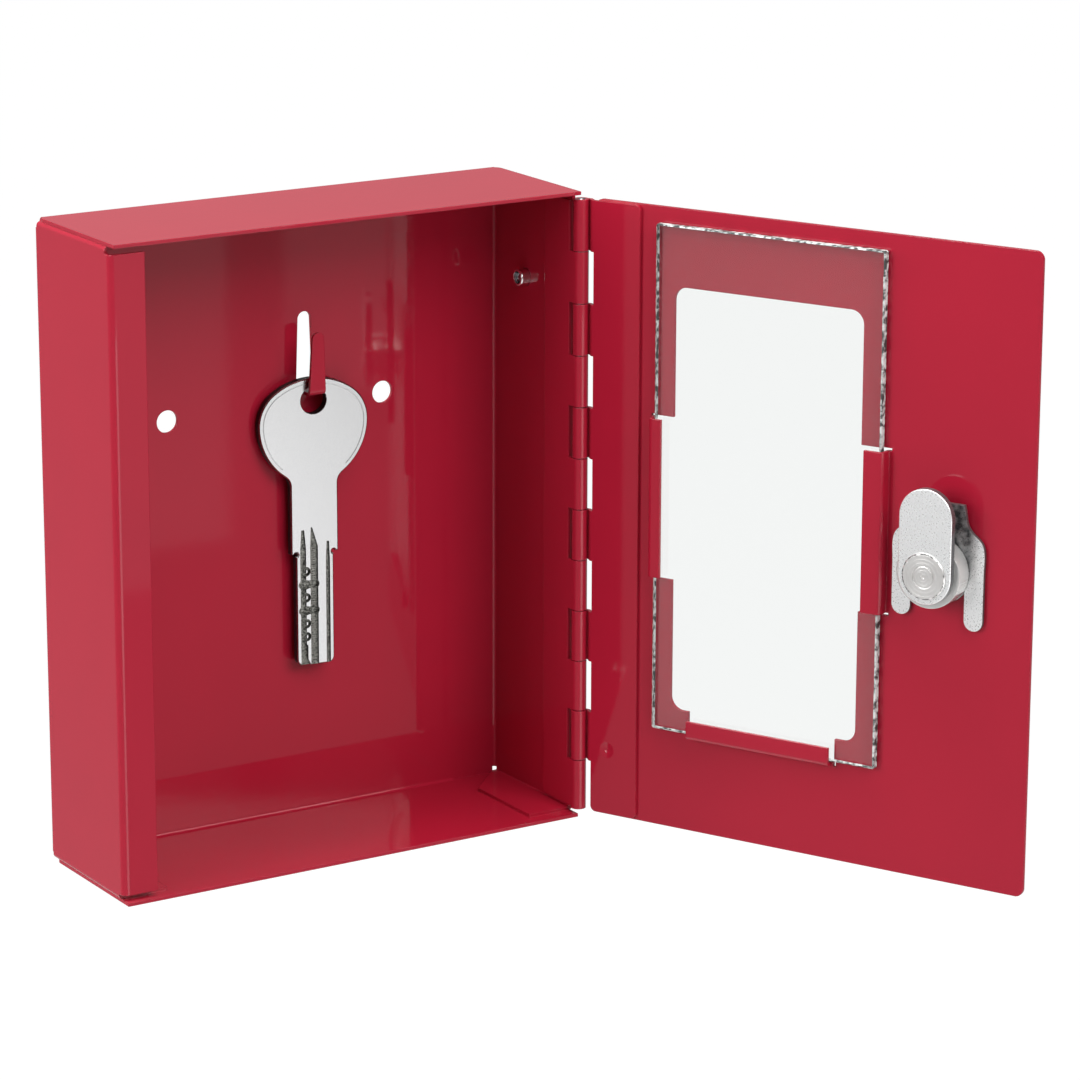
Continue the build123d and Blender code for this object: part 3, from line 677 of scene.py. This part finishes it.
@dataclass(frozen=True)
class BlankedZinc:
    """Zinc plated steel blank: bright faces, dark sheared edges, and on request painted shade high up, in
    clouds, where a raised arm turns away from the light and mirrors dark surroundings.
    """

    name: str
    plating: Plating = Metal.ZINC.value
    edge: str = "77797b"
    edge_facing: tuple[float, float] = (0.2, 0.4)
    painted_shade: str = "45484a"
    # the level above which the painted shade begins, or None for a blank without it
    painted_shade_start_mm: float | None = None
    painted_shade_rise_mm: float = 7.0
    painted_shade_half_mm: float = 10.0
    # the share of that half width at which the painted shade begins to fade
    painted_shade_fade: float = 0.75
    painted_shade_cloud_mm: float = 2.2
    painted_shade_levels: tuple[float, float] = (0.3, 0.6)
    faintest_painted_shade: float = 0.55

    def material(self, place: Place) -> bpy.types.Material:
        """Build the metal.

        Args:
            place: the blank's place, with its faces square to the outward axis.

        Returns:
            The material.
        """
        material, tree, output = new_material(self.name)
        shader = self.plating.shader(tree)
        colour = shader.inputs["Base Color"].links[0].from_socket
        if self.painted_shade_start_mm is not None:
            colour = self.add_painted_shade(tree, place, colour)
        sheared = edge_share(tree, place, self.edge_facing)
        edged = add_node(
            tree, "ShaderNodeMix", {"Factor": sheared, 6: colour, 7: linear(self.edge)}, data_type="RGBA"
        )
        tree.links.new(edged.outputs[2], shader.inputs["Base Color"])
        tree.links.new(shader.outputs["BSDF"], output.inputs["Surface"])
        return material

    def add_painted_shade(
        self, tree: bpy.types.NodeTree, place: Place, colour: bpy.types.NodeSocket
    ) -> bpy.types.NodeSocket:
        """Darken the part of the blank that rises above a level, in clouds: painted shade on a raised arm
        that turns away from the light.

        Args:
            tree: the material's tree.
            place: the blank's place.
            colour: the colour without the painted shade.

        Returns:
            The colour with the painted shade.
        """
        spot = place.coordinates(tree)
        axes = add_node(tree, "ShaderNodeSeparateXYZ", {"Vector": spot})
        clouds = add_node(
            tree,
            "ShaderNodeTexNoise",
            {"Vector": spot, "Scale": 1 / (self.painted_shade_cloud_mm * MM), "Detail": 3.0},
        )
        start = self.painted_shade_start_mm * MM
        up = add_node(
            tree,
            "ShaderNodeMapRange",
            {"Value": axes.outputs["Y"], "From Min": start, "From Max": start + self.painted_shade_rise_mm * MM},
        )
        aside = add_node(tree, "ShaderNodeMath", {0: axes.outputs["X"]}, operation="ABSOLUTE")
        within = add_node(
            tree,
            "ShaderNodeMapRange",
            {
                "Value": aside.outputs[0],
                "From Min": self.painted_shade_half_mm * self.painted_shade_fade * MM,
                "From Max": self.painted_shade_half_mm * MM,
                "To Min": 1.0,
                "To Max": 0.0,
            },
        )
        amount = add_node(
            tree,
            "ShaderNodeMath",
            {0: up.outputs["Result"], 1: within.outputs["Result"]},
            operation="MULTIPLY",
        )
        low, high = self.painted_shade_levels
        cloudy = add_node(
            tree,
            "ShaderNodeMapRange",
            {
                "Value": clouds.outputs["Fac"],
                "From Min": low,
                "From Max": high,
                "To Min": self.faintest_painted_shade,
                "To Max": 1.0,
            },
        )
        share = add_node(
            tree, "ShaderNodeMath", {0: amount.outputs[0], 1: cloudy.outputs["Result"]}, operation="MULTIPLY"
        )
        painted_shade = add_node(
            tree,
            "ShaderNodeMix",
            {"Factor": share.outputs[0], 6: colour, 7: linear(self.painted_shade)},
            data_type="RGBA",
        )
        return painted_shade.outputs[2]


@dataclass(frozen=True)
class SpunNickel:
    """Nickelled zinc whose tail was spun over by a riveting tool, which leaves rings round its axis."""

    name: str = "spun_nickel_plating"
    plating: Plating = Metal.NICKEL.value
    ring_mm: float = 0.85
    ring_depth_mm: float = 0.03
    ring_sway: float = 0.6
    # the texture's rings repeat every tenth of pi of its own unit
    texture_ring: float = math.pi / 10

    def material(self, place: Place) -> bpy.types.Material:
        """Build the metal.

        Args:
            place: the lock's own place, with the axis along its outward axis.

        Returns:
            The material.
        """
        material, tree, output = new_material(self.name)
        shader = self.plating.shader(tree)
        rings = add_node(
            tree,
            "ShaderNodeTexWave",
            {
                "Vector": place.coordinates(tree),
                "Scale": self.texture_ring / (self.ring_mm * MM),
                "Distortion": self.ring_sway,
                "Detail": 1.0,
            },
            wave_type="RINGS",
            rings_direction="Z",
        )
        rounded = shader.inputs["Normal"].links[0].from_socket
        bump = add_node(
            tree,
            "ShaderNodeBump",
            {
                "Height": rings.outputs["Fac"],
                "Distance": self.ring_depth_mm * MM,
                "Strength": 1.0,
                "Normal": rounded,
            },
        )
        tree.links.new(bump.outputs["Normal"], shader.inputs["Normal"])
        tree.links.new(shader.outputs["BSDF"], output.inputs["Surface"])
        return material


# ---- grown repeats -----------------------------------------------------------------------


def tree_with_inputs(
    name: str, sockets: dict[str, str]
) -> tuple[bpy.types.NodeTree, bpy.types.Node, bpy.types.Node]:
    """Start a Geometry Nodes tree with named inputs and a geometry output.

    Args:
        name: the tree's name.
        sockets: input names to socket types.

    Returns:
        The tree, its group input and its group output.
    """
    tree = bpy.data.node_groups.new(name, "GeometryNodeTree")
    tree.interface.new_socket("Geometry", in_out="OUTPUT", socket_type="NodeSocketGeometry")
    for socket, kind in sockets.items():
        tree.interface.new_socket(socket, in_out="INPUT", socket_type=kind)
    return tree, add_node(tree, "NodeGroupInput"), add_node(tree, "NodeGroupOutput")


def end_tree(
    tree: bpy.types.NodeTree, placed: bpy.types.Node, given: bpy.types.Node, result: bpy.types.Node
) -> None:
    """Make the placed copies one mesh, in the tree's material, and give it out.

    Args:
        tree: the tree.
        placed: the node that places the copies.
        given: the tree's group input, which has the material.
        result: the tree's group output.
    """
    solid = add_node(tree, "GeometryNodeRealizeInstances", {"Geometry": placed.outputs["Instances"]})
    dressed = add_node(
        tree,
        "GeometryNodeSetMaterial",
        {"Geometry": solid.outputs["Geometry"], "Material": given.outputs["Material"]},
    )
    tree.links.new(dressed.outputs["Geometry"], result.inputs["Geometry"])


@dataclass(frozen=True)
class ShadeDashRing:
    """Tree that grows short dark dashes round a circle, uneven in length and with gaps: painted shade of a
    gap.
    """

    name: str = "shade_dash_ring"
    seed: int = 7
    shortest: float = 0.45
    longest: float = 1.3

    def tree(self) -> bpy.types.NodeTree:
        """Build the tree."""
        tree, given, result = tree_with_inputs(
            self.name,
            {
                "Count": "NodeSocketInt",
                "Radius": "NodeSocketFloat",
                "Dash Length": "NodeSocketFloat",
                "Dash Width": "NodeSocketFloat",
                "Dash Height": "NodeSocketFloat",
                "Kept Share": "NodeSocketFloat",
                "Material": "NodeSocketMaterial",
            },
        )
        circle = add_node(
            tree,
            "GeometryNodeMeshCircle",
            {"Vertices": given.outputs["Count"], "Radius": given.outputs["Radius"]},
        )
        number = add_node(tree, "GeometryNodeInputIndex")
        step = add_node(tree, "ShaderNodeMath", {0: math.tau, 1: given.outputs["Count"]}, operation="DIVIDE")
        turn = add_node(
            tree, "ShaderNodeMath", {0: number.outputs[0], 1: step.outputs[0]}, operation="MULTIPLY"
        )
        facing = add_node(tree, "ShaderNodeCombineXYZ", {"Z": turn.outputs[0]})
        length = add_node(
            tree,
            "FunctionNodeRandomValue",
            {"Min": self.shortest, "Max": self.longest, "Seed": self.seed},
            data_type="FLOAT",
        )
        kept = add_node(
            tree,
            "FunctionNodeRandomValue",
            {"Probability": given.outputs["Kept Share"], "Seed": self.seed + 1},
            data_type="BOOLEAN",
        )
        long = add_node(
            tree,
            "ShaderNodeMath",
            {0: given.outputs["Dash Length"], 1: length.outputs["Value"]},
            operation="MULTIPLY",
        )
        size = add_node(
            tree,
            "ShaderNodeCombineXYZ",
            {"X": given.outputs["Dash Width"], "Y": long.outputs[0], "Z": given.outputs["Dash Height"]},
        )
        dash = add_node(tree, "GeometryNodeMeshIcoSphere", SMALL_BALL)
        placed = add_node(
            tree,
            "GeometryNodeInstanceOnPoints",
            {
                "Points": circle.outputs["Mesh"],
                "Selection": kept.outputs["Value"],
                "Instance": dash.outputs["Mesh"],
                "Rotation": facing.outputs["Vector"],
                "Scale": size.outputs["Vector"],
            },
        )
        end_tree(tree, placed, given, result)
        return tree


@dataclass(frozen=True)
class RibRow:
    """Tree that grows cutter ribs in a row down a groove, and leaves out those over the two pockets."""

    name: str = "rib_row"

    def tree(self) -> bpy.types.NodeTree:
        """Build the tree."""
        tree, given, result = tree_with_inputs(
            self.name,
            {
                "Count": "NodeSocketInt",
                "Start": "NodeSocketVector",
                "Step": "NodeSocketVector",
                "Rib Size": "NodeSocketVector",
                "First Pocket": "NodeSocketFloat",
                "Second Pocket": "NodeSocketFloat",
                "Pocket Reach": "NodeSocketFloat",
                "Material": "NodeSocketMaterial",
            },
        )
        row = add_node(
            tree,
            "GeometryNodeMeshLine",
            {
                "Count": given.outputs["Count"],
                "Start Location": given.outputs["Start"],
                "Offset": given.outputs["Step"],
            },
        )
        spot = add_node(tree, "GeometryNodeInputPosition")
        level = add_node(tree, "ShaderNodeSeparateXYZ", {"Vector": spot.outputs[0]})
        clear = []
        for pocket in ("First Pocket", "Second Pocket"):
            away = add_node(
                tree,
                "ShaderNodeMath",
                {0: level.outputs["Y"], 1: given.outputs[pocket]},
                operation="SUBTRACT",
            )
            far = add_node(tree, "ShaderNodeMath", {0: away.outputs[0]}, operation="ABSOLUTE")
            beyond = add_node(
                tree,
                "ShaderNodeMath",
                {0: far.outputs[0], 1: given.outputs["Pocket Reach"]},
                operation="GREATER_THAN",
            )
            clear.append(beyond.outputs[0])
        kept = add_node(tree, "ShaderNodeMath", {0: clear[0], 1: clear[1]}, operation="MULTIPLY")
        rib = add_node(tree, "GeometryNodeMeshIcoSphere", SMALL_BALL)
        placed = add_node(
            tree,
            "GeometryNodeInstanceOnPoints",
            {
                "Points": row.outputs["Mesh"],
                "Selection": kept.outputs[0],
                "Instance": rib.outputs["Mesh"],
                "Scale": given.outputs["Rib Size"],
            },
        )
        end_tree(tree, placed, given, result)
        return tree


# ---- sub-assemblies ----------------------------------------------------------------------


@dataclass
class Painted:
    """Case, door and hinge leaves: folded sheet, painted together after welding."""

    nodes: dict[str, bpy.types.Object]
    names: tuple[str, ...] = ("body_shell", "door_panel", "hinge_box_leaf", "hinge_door_leaf")
    enamel: StovingEnamel = field(default_factory=StovingEnamel)

    def dress(self) -> None:
        """Paint the sheets."""
        paint = self.enamel.material()
        for name in self.names:
            set_material(self.nodes[name], paint)
            LOG.info("painted %s", name)


@dataclass
class Fastenings:
    """Hinge pin and blind rivet, fitted bare."""

    nodes: dict[str, bpy.types.Object]

    def dress(self) -> None:
        """Give each fastening its metal."""
        set_material(self.nodes["hinge_pin"], Metal.PIN_STEEL.value.material())
        set_material(self.nodes["rivet_body"], Metal.ALUMINIUM.value.material())
        set_material(self.nodes["rivet_mandrel"], Metal.MANDREL_STEEL.value.material())
        LOG.info("dressed hinge_pin, rivet_body and rivet_mandrel")


@dataclass
class Pane:
    """The glass pane, with its edges seamed by hand after cutting."""

    nodes: dict[str, bpy.types.Object]
    place: Place
    body: str = "door"
    seam_mm: float = 0.3
    flat_limit: float = 0.99

    def build(self) -> bpy.types.Object:
        """Make the pane where its node is.

        Returns:
            The pane, with clear faces in the first slot and seamed edges in the second.
        """
        low, high = self.place.box(self.nodes["glass_pane"])
        shape = bmesh.new()
        bmesh.ops.create_cube(shape, size=1.0)
        bmesh.ops.scale(shape, vec=high - low, verts=shape.verts)
        bmesh.ops.translate(shape, vec=(high + low) / 2, verts=shape.verts)
        bmesh.ops.bevel(
            shape, geom=list(shape.edges), offset=self.seam_mm * MM, segments=1, affect="EDGES", profile=0.5
        )
        bmesh.ops.recalc_face_normals(shape, faces=shape.faces)
        mesh = bpy.data.meshes.new("pane")
        shape.to_mesh(mesh)
        shape.free()
        seamed = [abs(face.normal.z) < self.flat_limit for face in mesh.polygons]
        mesh.transform(self.place.matrix())
        pane = new_piece("seamed_pane", mesh, self.body)
        set_material(pane, FloatGlass().material(), CutGlassEdge().material())
        mesh.polygons.foreach_set("material_index", [int(edge) for edge in seamed])
        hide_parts("glass_pane")
        return pane


@dataclass
class CamLock:
    """Cam lock: plated housing, cam and clip, spun-over tail, brass wafers on bronze springs."""

    nodes: dict[str, bpy.types.Object]
    place: Place
    body: str = "lock_core"
    # dark dashes round the tail: painted shade of the gap between tail and cam
    dash_count: int = 38
    dash_length_mm: float = 0.85
    dash_width_mm: float = 0.22
    dash_height_mm: float = 0.2
    kept_share: float = 0.78
    rim_inset_mm: float = 0.18
    # how far below the cam's face the tail's rim is still measured, as a share of the tail's height
    rim_reach: float = 0.25

    def dress(self) -> None:
        """Give each part of the lock its metal."""
        nickel = Metal.NICKEL.value.material()
        brass = Metal.BRASS.value.material()
        wire = Metal.SPRING_WIRE.value.material()
        set_material(self.nodes["lock_housing"], nickel)
        set_material(self.nodes["lock_plug"], SpunNickel().material(self.place))
        set_material(self.nodes["lock_cam"], BlankedZinc("zinc_plated_cam").material(self.place))
        # painted shade: the clip's raised arm above the lock's axis is darkened in clouds
        clip = BlankedZinc("zinc_plated_spring_clip", painted_shade_start_mm=-4.5)
        set_material(self.nodes["lock_clip"], clip.material(self.place))
        for name, node in self.nodes.items():
            if name.startswith("lock_wafer"):
                set_material(node, brass)
            elif name.startswith("wafer_spring"):
                set_material(node, wire)
        LOG.info("dressed the cam lock")

    def build(self) -> bpy.types.Object:
        """Make dark dashes round the rim of the spun-over tail, as painted shade of the gap between tail and
        cam.

        Returns:
            The ring of dashes.
        """
        tail_high = self.place.box(self.nodes["lock_plug"])[1]
        cam_face = self.place.box(self.nodes["lock_cam"])[1].z
        rim_level = cam_face - (tail_high.z - cam_face) * self.rim_reach
        radius = self.radius_beyond(rim_level) - self.rim_inset_mm * MM
        mesh = grown_mesh(
            ShadeDashRing().tree(),
            {
                "Count": self.dash_count,
                "Radius": radius,
                "Dash Length": self.dash_length_mm * MM,
                "Dash Width": self.dash_width_mm * MM,
                "Dash Height": self.dash_height_mm * MM,
                "Kept Share": self.kept_share,
                "Material": Metal.SHADE_DASH.value.material(),
            },
        )
        mesh.transform(self.place.matrix() @ Matrix.Translation((0.0, 0.0, tail_high.z)))
        return new_piece("tail_shade_dashes", mesh, self.body)

    def radius_beyond(self, level: float) -> float:
        """Measure the plug's largest radius beyond a level.

        Args:
            level: the level along the lock's axis.

        Returns:
            The radius of the spun-over tail there.
        """
        back = self.place.matrix().inverted()
        points = [back @ vertex.co for vertex in self.nodes["lock_plug"].data.vertices]
        return max(math.hypot(point.x, point.y) for point in points if point.z > level)


@dataclass
class HangingKey:
    """Flat dimple key: satin bow, milled blade with cutter ribs down its middle groove."""

    nodes: dict[str, bpy.types.Object]
    place: Place
    body: str = "key"
    groove_start_mm: float = -1.2
    groove_end_mm: float = 0.7
    groove_top_mm: float = -35.2
    blade_end_mm: float = -63.2
    groove_depth_mm: float = 0.5
    first_pocket_mm: float = -43.9
    second_pocket_mm: float = -50.2
    pocket_reach_mm: float = 1.15
    highest_groove_mm: float = -30.0
    milled_half_mm: float = 4.35
    rib_pitch_mm: float = 0.55
    rib_width_mm: float = 0.3
    rib_height_mm: float = 0.24

    def half_thickness(self) -> float:
        """Measure half the key's thickness."""
        low, high = self.place.box(self.nodes["emergency_key"])
        return (high.z - low.z) / 2

    def dress(self) -> None:
        """Give the key its metal."""
        metal = MilledNickelSilver().material(
            self.place, self.half_thickness(), self.highest_groove_mm * MM, self.milled_half_mm * MM
        )
        set_material(self.nodes["emergency_key"], metal)
        LOG.info("dressed emergency_key")

    def build(self) -> bpy.types.Object:
        """Make the cutter ribs in the middle groove of both faces.

        Returns:
            The ribs.
        """
        floor = self.half_thickness() - self.groove_depth_mm * MM
        span = self.groove_top_mm - self.blade_end_mm
        count = int(span / self.rib_pitch_mm)
        middle = (self.groove_start_mm + self.groove_end_mm) / 2
        metal = Metal.MILLED_RIB.value.material()
        ribs = bmesh.new()
        tree = RibRow().tree()
        for side in (1, -1):
            mesh = grown_mesh(
                tree,
                {
                    "Count": count,
                    "Start": (side * middle * MM, self.groove_top_mm * MM, side * floor),
                    "Step": (0.0, -self.rib_pitch_mm * MM, 0.0),
                    "Rib Size": (
                        (self.groove_end_mm - self.groove_start_mm) * MM,
                        self.rib_width_mm * MM,
                        self.rib_height_mm * MM,
                    ),
                    "First Pocket": self.first_pocket_mm * MM,
                    "Second Pocket": self.second_pocket_mm * MM,
                    "Pocket Reach": self.pocket_reach_mm * MM,
                    "Material": metal,
                },
            )
            ribs.from_mesh(mesh)
        joined = bpy.data.meshes.new("ribs")
        ribs.to_mesh(joined)
        ribs.free()
        joined.transform(self.place.matrix())
        piece = new_piece("cutter_ribs", joined, self.body)
        set_material(piece, metal)
        return piece


# ---- stage -------------------------------------------------------------------------------


@dataclass(frozen=True)
class SoftBox:
    """A rectangular studio lamp, which faces the object unless it is given another point to face."""

    name: str
    place: tuple[float, float, float]
    size: tuple[float, float]
    watts: float
    aim: tuple[float, float, float] | None = None

    def hang(self, middle: Vector) -> None:
        """Hang the lamp.

        Args:
            middle: the middle of the object.
        """
        data = bpy.data.lights.new(self.name, "AREA")
        data.shape = "RECTANGLE"
        data.size, data.size_y = self.size
        data.energy = self.watts
        lamp = bpy.data.objects.new(self.name, data)
        target = Vector(self.aim) if self.aim else middle
        lamp.location = self.place
        lamp.rotation_euler = (target - Vector(self.place)).to_track_quat("-Z", "Y").to_euler()
        bpy.context.scene.collection.objects.link(lamp)


@dataclass
class Studio:
    """Camera, soft boxes, pale room and pale floor."""

    camera_place: tuple[float, float, float] = (-0.47923, -0.87678, 0.23969)
    camera_yaw: float = 32.18
    camera_pitch: float = 15.233
    camera_roll: float = -0.158
    focal_length: float = 148.12
    floor_drop: float = 0.9
    floor_side: float = 30.0
    floor_grey: float = 0.8
    floor_seen_grey: float = 0.1
    floor_shine: float = 0.35
    # how bright the room is in mirrors: towards +x, -x, +y, -y, +z and -z
    room: tuple[float, float, float, float, float, float] = (0.05, 0.5, 0.45, 0.12, 0.1, 0.1)
    lamps: tuple[SoftBox, ...] = (
        SoftBox("key_lamp", (0.75, -1.25, 0.8), (0.8, 0.8), 8.8),
        SoftBox("front_lamp", (0.05, -1.3, 0.95), (0.8, 0.8), 8.6),
        SoftBox("low_front_lamp", (0.1, -1.5, -0.7), (0.8, 0.8), 3.6),
        SoftBox("left_lamp", (-1.5, 0.05, 0.35), (0.8, 0.8), 10.8),
        SoftBox("front_left_lamp", (-1.4, -0.6, 0.45), (0.8, 0.8), 3.2),
        SoftBox("high_left_lamp", (-1.2, 0.05, 0.9), (0.8, 0.8), 5.4),
        SoftBox("top_lamp", (0.0, 0.1, 1.4), (0.8, 0.8), 19.0),
        SoftBox("high_front_lamp", (0.0, -0.7, 1.35), (0.8, 0.8), 6.4),
        SoftBox("back_left_lamp", (-1.1, 1.0, 0.4), (0.8, 0.8), 11.5),
        SoftBox("wide_panel", (0.316, -1.4, 0.0), (0.834, 0.92), 1.0, (0.316, 0.0, 0.0)),
        SoftBox("narrow_panel", (0.861, -1.4, 0.06), (0.178, 0.88), 0.16, (0.861, 0.0, 0.06)),
    )

    def camera(self) -> None:
        """Place the camera at the viewing angle."""
        data = bpy.data.cameras.new("camera")
        data.lens = self.focal_length
        data.sensor_width = 36.0
        data.clip_start, data.clip_end = 0.05, 100.0
        camera = bpy.data.objects.new("camera", data)
        turn = (
            Matrix.Rotation(math.radians(-self.camera_yaw), 3, "Z")
            @ Matrix.Rotation(math.radians(90 - self.camera_pitch), 3, "X")
            @ Matrix.Rotation(math.radians(-self.camera_roll), 3, "Z")
        )
        camera.location = self.camera_place
        camera.rotation_euler = turn.to_euler()
        bpy.context.scene.collection.objects.link(camera)
        bpy.context.scene.camera = camera

    def world(self) -> None:
        """Build the room: plain white where it is seen, dimmer and uneven where it is mirrored."""
        world = bpy.data.worlds.new("world")
        bpy.context.scene.world = world
        world.use_nodes = True
        tree = world.node_tree
        tree.nodes.clear()
        output = add_node(tree, "ShaderNodeOutputWorld")
        path = add_node(tree, "ShaderNodeLightPath")
        way = add_node(tree, "ShaderNodeTexCoord").outputs["Generated"]
        axes = add_node(tree, "ShaderNodeSeparateXYZ", {"Vector": way})
        mirrored = 0.0
        for number, level in enumerate(self.room):
            sign = 1.0 if number % 2 == 0 else -1.0
            along = add_node(
                tree, "ShaderNodeMath", {0: axes.outputs[number // 2], 1: sign}, operation="MULTIPLY"
            )
            ahead = add_node(tree, "ShaderNodeMath", {0: along.outputs[0], 1: 0.0}, operation="MAXIMUM")
            share = add_node(
                tree, "ShaderNodeMath", {0: ahead.outputs[0], 1: ahead.outputs[0]}, operation="MULTIPLY"
            )
            mirrored = add_node(
                tree, "ShaderNodeMath", {0: share.outputs[0], 1: level, 2: mirrored}, operation="MULTIPLY_ADD"
            ).outputs[0]
        shine = add_node(
            tree, "ShaderNodeMath", {0: mirrored, 1: path.outputs["Is Glossy Ray"]}, operation="MULTIPLY"
        )
        seen = self.seen(tree, path)
        strength = add_node(tree, "ShaderNodeMath", {0: seen, 1: shine.outputs[0]}, operation="MAXIMUM")
        sky = add_node(tree, "ShaderNodeBackground", {"Color": WHITE, "Strength": strength.outputs[0]})
        tree.links.new(sky.outputs["Background"], output.inputs["Surface"])

    def seen(self, tree: bpy.types.NodeTree, path: bpy.types.Node) -> bpy.types.NodeSocket:
        """Tell a ray that shows a surface, by itself or through the glass, from one that lights it.

        Args:
            tree: the tree of the world or of a material.
            path: its Light Path node.

        Returns:
            1 for a ray that shows the surface, and 0 for any other.
        """
        shows = add_node(
            tree,
            "ShaderNodeMath",
            {0: path.outputs["Is Camera Ray"], 1: path.outputs["Is Transmission Ray"]},
            operation="MAXIMUM",
        )
        return shows.outputs[0]

    def floor(self, low: float) -> None:
        """Lay the pale floor.

        Args:
            low: the lowest level of the object.
        """
        mesh = bpy.data.meshes.new("floor")
        half = self.floor_side / 2
        level = low - self.floor_drop
        corners = [(-half, -half, level), (half, -half, level), (half, half, level), (-half, half, level)]
        mesh.from_pydata(corners, [], [(0, 1, 2, 3)])
        floor = bpy.data.objects.new("floor", mesh)
        bpy.context.scene.collection.objects.link(floor)
        material, tree, output = new_material("matt_white_floor")
        path = add_node(tree, "ShaderNodeLightPath")
        seen = self.seen(tree, path)
        grey = add_node(
            tree,
            "ShaderNodeMix",
            {"Factor": seen, 2: self.floor_grey, 3: self.floor_seen_grey},
            data_type="FLOAT",
        )
        matt = add_node(tree, "ShaderNodeBsdfDiffuse", {"Color": grey.outputs[0]})
        mirrored = add_node(
            tree,
            "ShaderNodeMath",
            {0: path.outputs["Is Glossy Ray"], 1: self.floor_shine},
            operation="MULTIPLY",
        )
        strength = add_node(tree, "ShaderNodeMath", {0: mirrored.outputs[0], 1: seen}, operation="MAXIMUM")
        glow = add_node(tree, "ShaderNodeEmission", {"Color": WHITE, "Strength": strength.outputs[0]})
        both = add_node(tree, "ShaderNodeAddShader", {0: matt.outputs["BSDF"], 1: glow.outputs["Emission"]})
        tree.links.new(both.outputs["Shader"], output.inputs["Surface"])
        set_material(floor, material)
        floor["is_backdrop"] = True

    def build(self, low: Vector, high: Vector) -> None:
        """Set the whole stage round the object.

        Args:
            low: the object's lowest corner.
            high: its highest corner.
        """
        middle = (low + high) / 2
        self.camera()
        self.world()
        self.floor(low.z)
        for lamp in self.lamps:
            lamp.hang(middle)
        bpy.context.scene.view_settings.view_transform = "Standard"


# ---- the whole ---------------------------------------------------------------------------


def joint_place(joint: dict[str, Any], inward: Vector) -> Place:
    """Make a place at a joint, square to a direction.

    Args:
        joint: the joint, as the record gives it.
        inward: the direction of the place's outward axis.

    Returns:
        The place, with its second axis up.
    """
    return Place(Vector(joint["pos_m"]), UP.cross(inward), UP, inward)


def key_place(joint: dict[str, Any], node: bpy.types.Object) -> Place:
    """Find the key's own place, square to its flat faces.

    Args:
        joint: the joint that the key swings on.
        node: the key.

    Returns:
        The place, at the joint's height on the key's mid-plane, facing the front.
    """
    facing = max(node.data.polygons, key=lambda face: face.area * (face.normal.y < 0)).normal.normalized()
    centre = Vector(joint["pos_m"])
    depths = [(vertex.co - centre).dot(facing) for vertex in node.data.vertices]
    middle = centre + facing * (min(depths) + max(depths)) / 2
    return Place(middle, UP.cross(facing), UP, facing)


def main() -> None:
    """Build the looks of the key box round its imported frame."""
    logging.basicConfig(level=logging.INFO)
    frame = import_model()
    cad_low, cad_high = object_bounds()
    nodes = frame["nodes"]
    joints = {joint["name"]: joint for joint in frame["joints"]}
    inward = Vector(joints["lock_turn"]["axis"]).normalized()
    Studio().build(cad_low, cad_high)
    Painted(nodes).dress()
    Fastenings(nodes).dress()
    Pane(nodes, joint_place(joints["door_hinge"], inward)).build()
    lock = CamLock(nodes, joint_place(joints["lock_turn"], inward))
    lock.dress()
    lock.build()
    key = HangingKey(nodes, key_place(joints["key_swing"], nodes["emergency_key"]))
    key.dress()
    key.build()


if __name__ == "__main__":
    main()
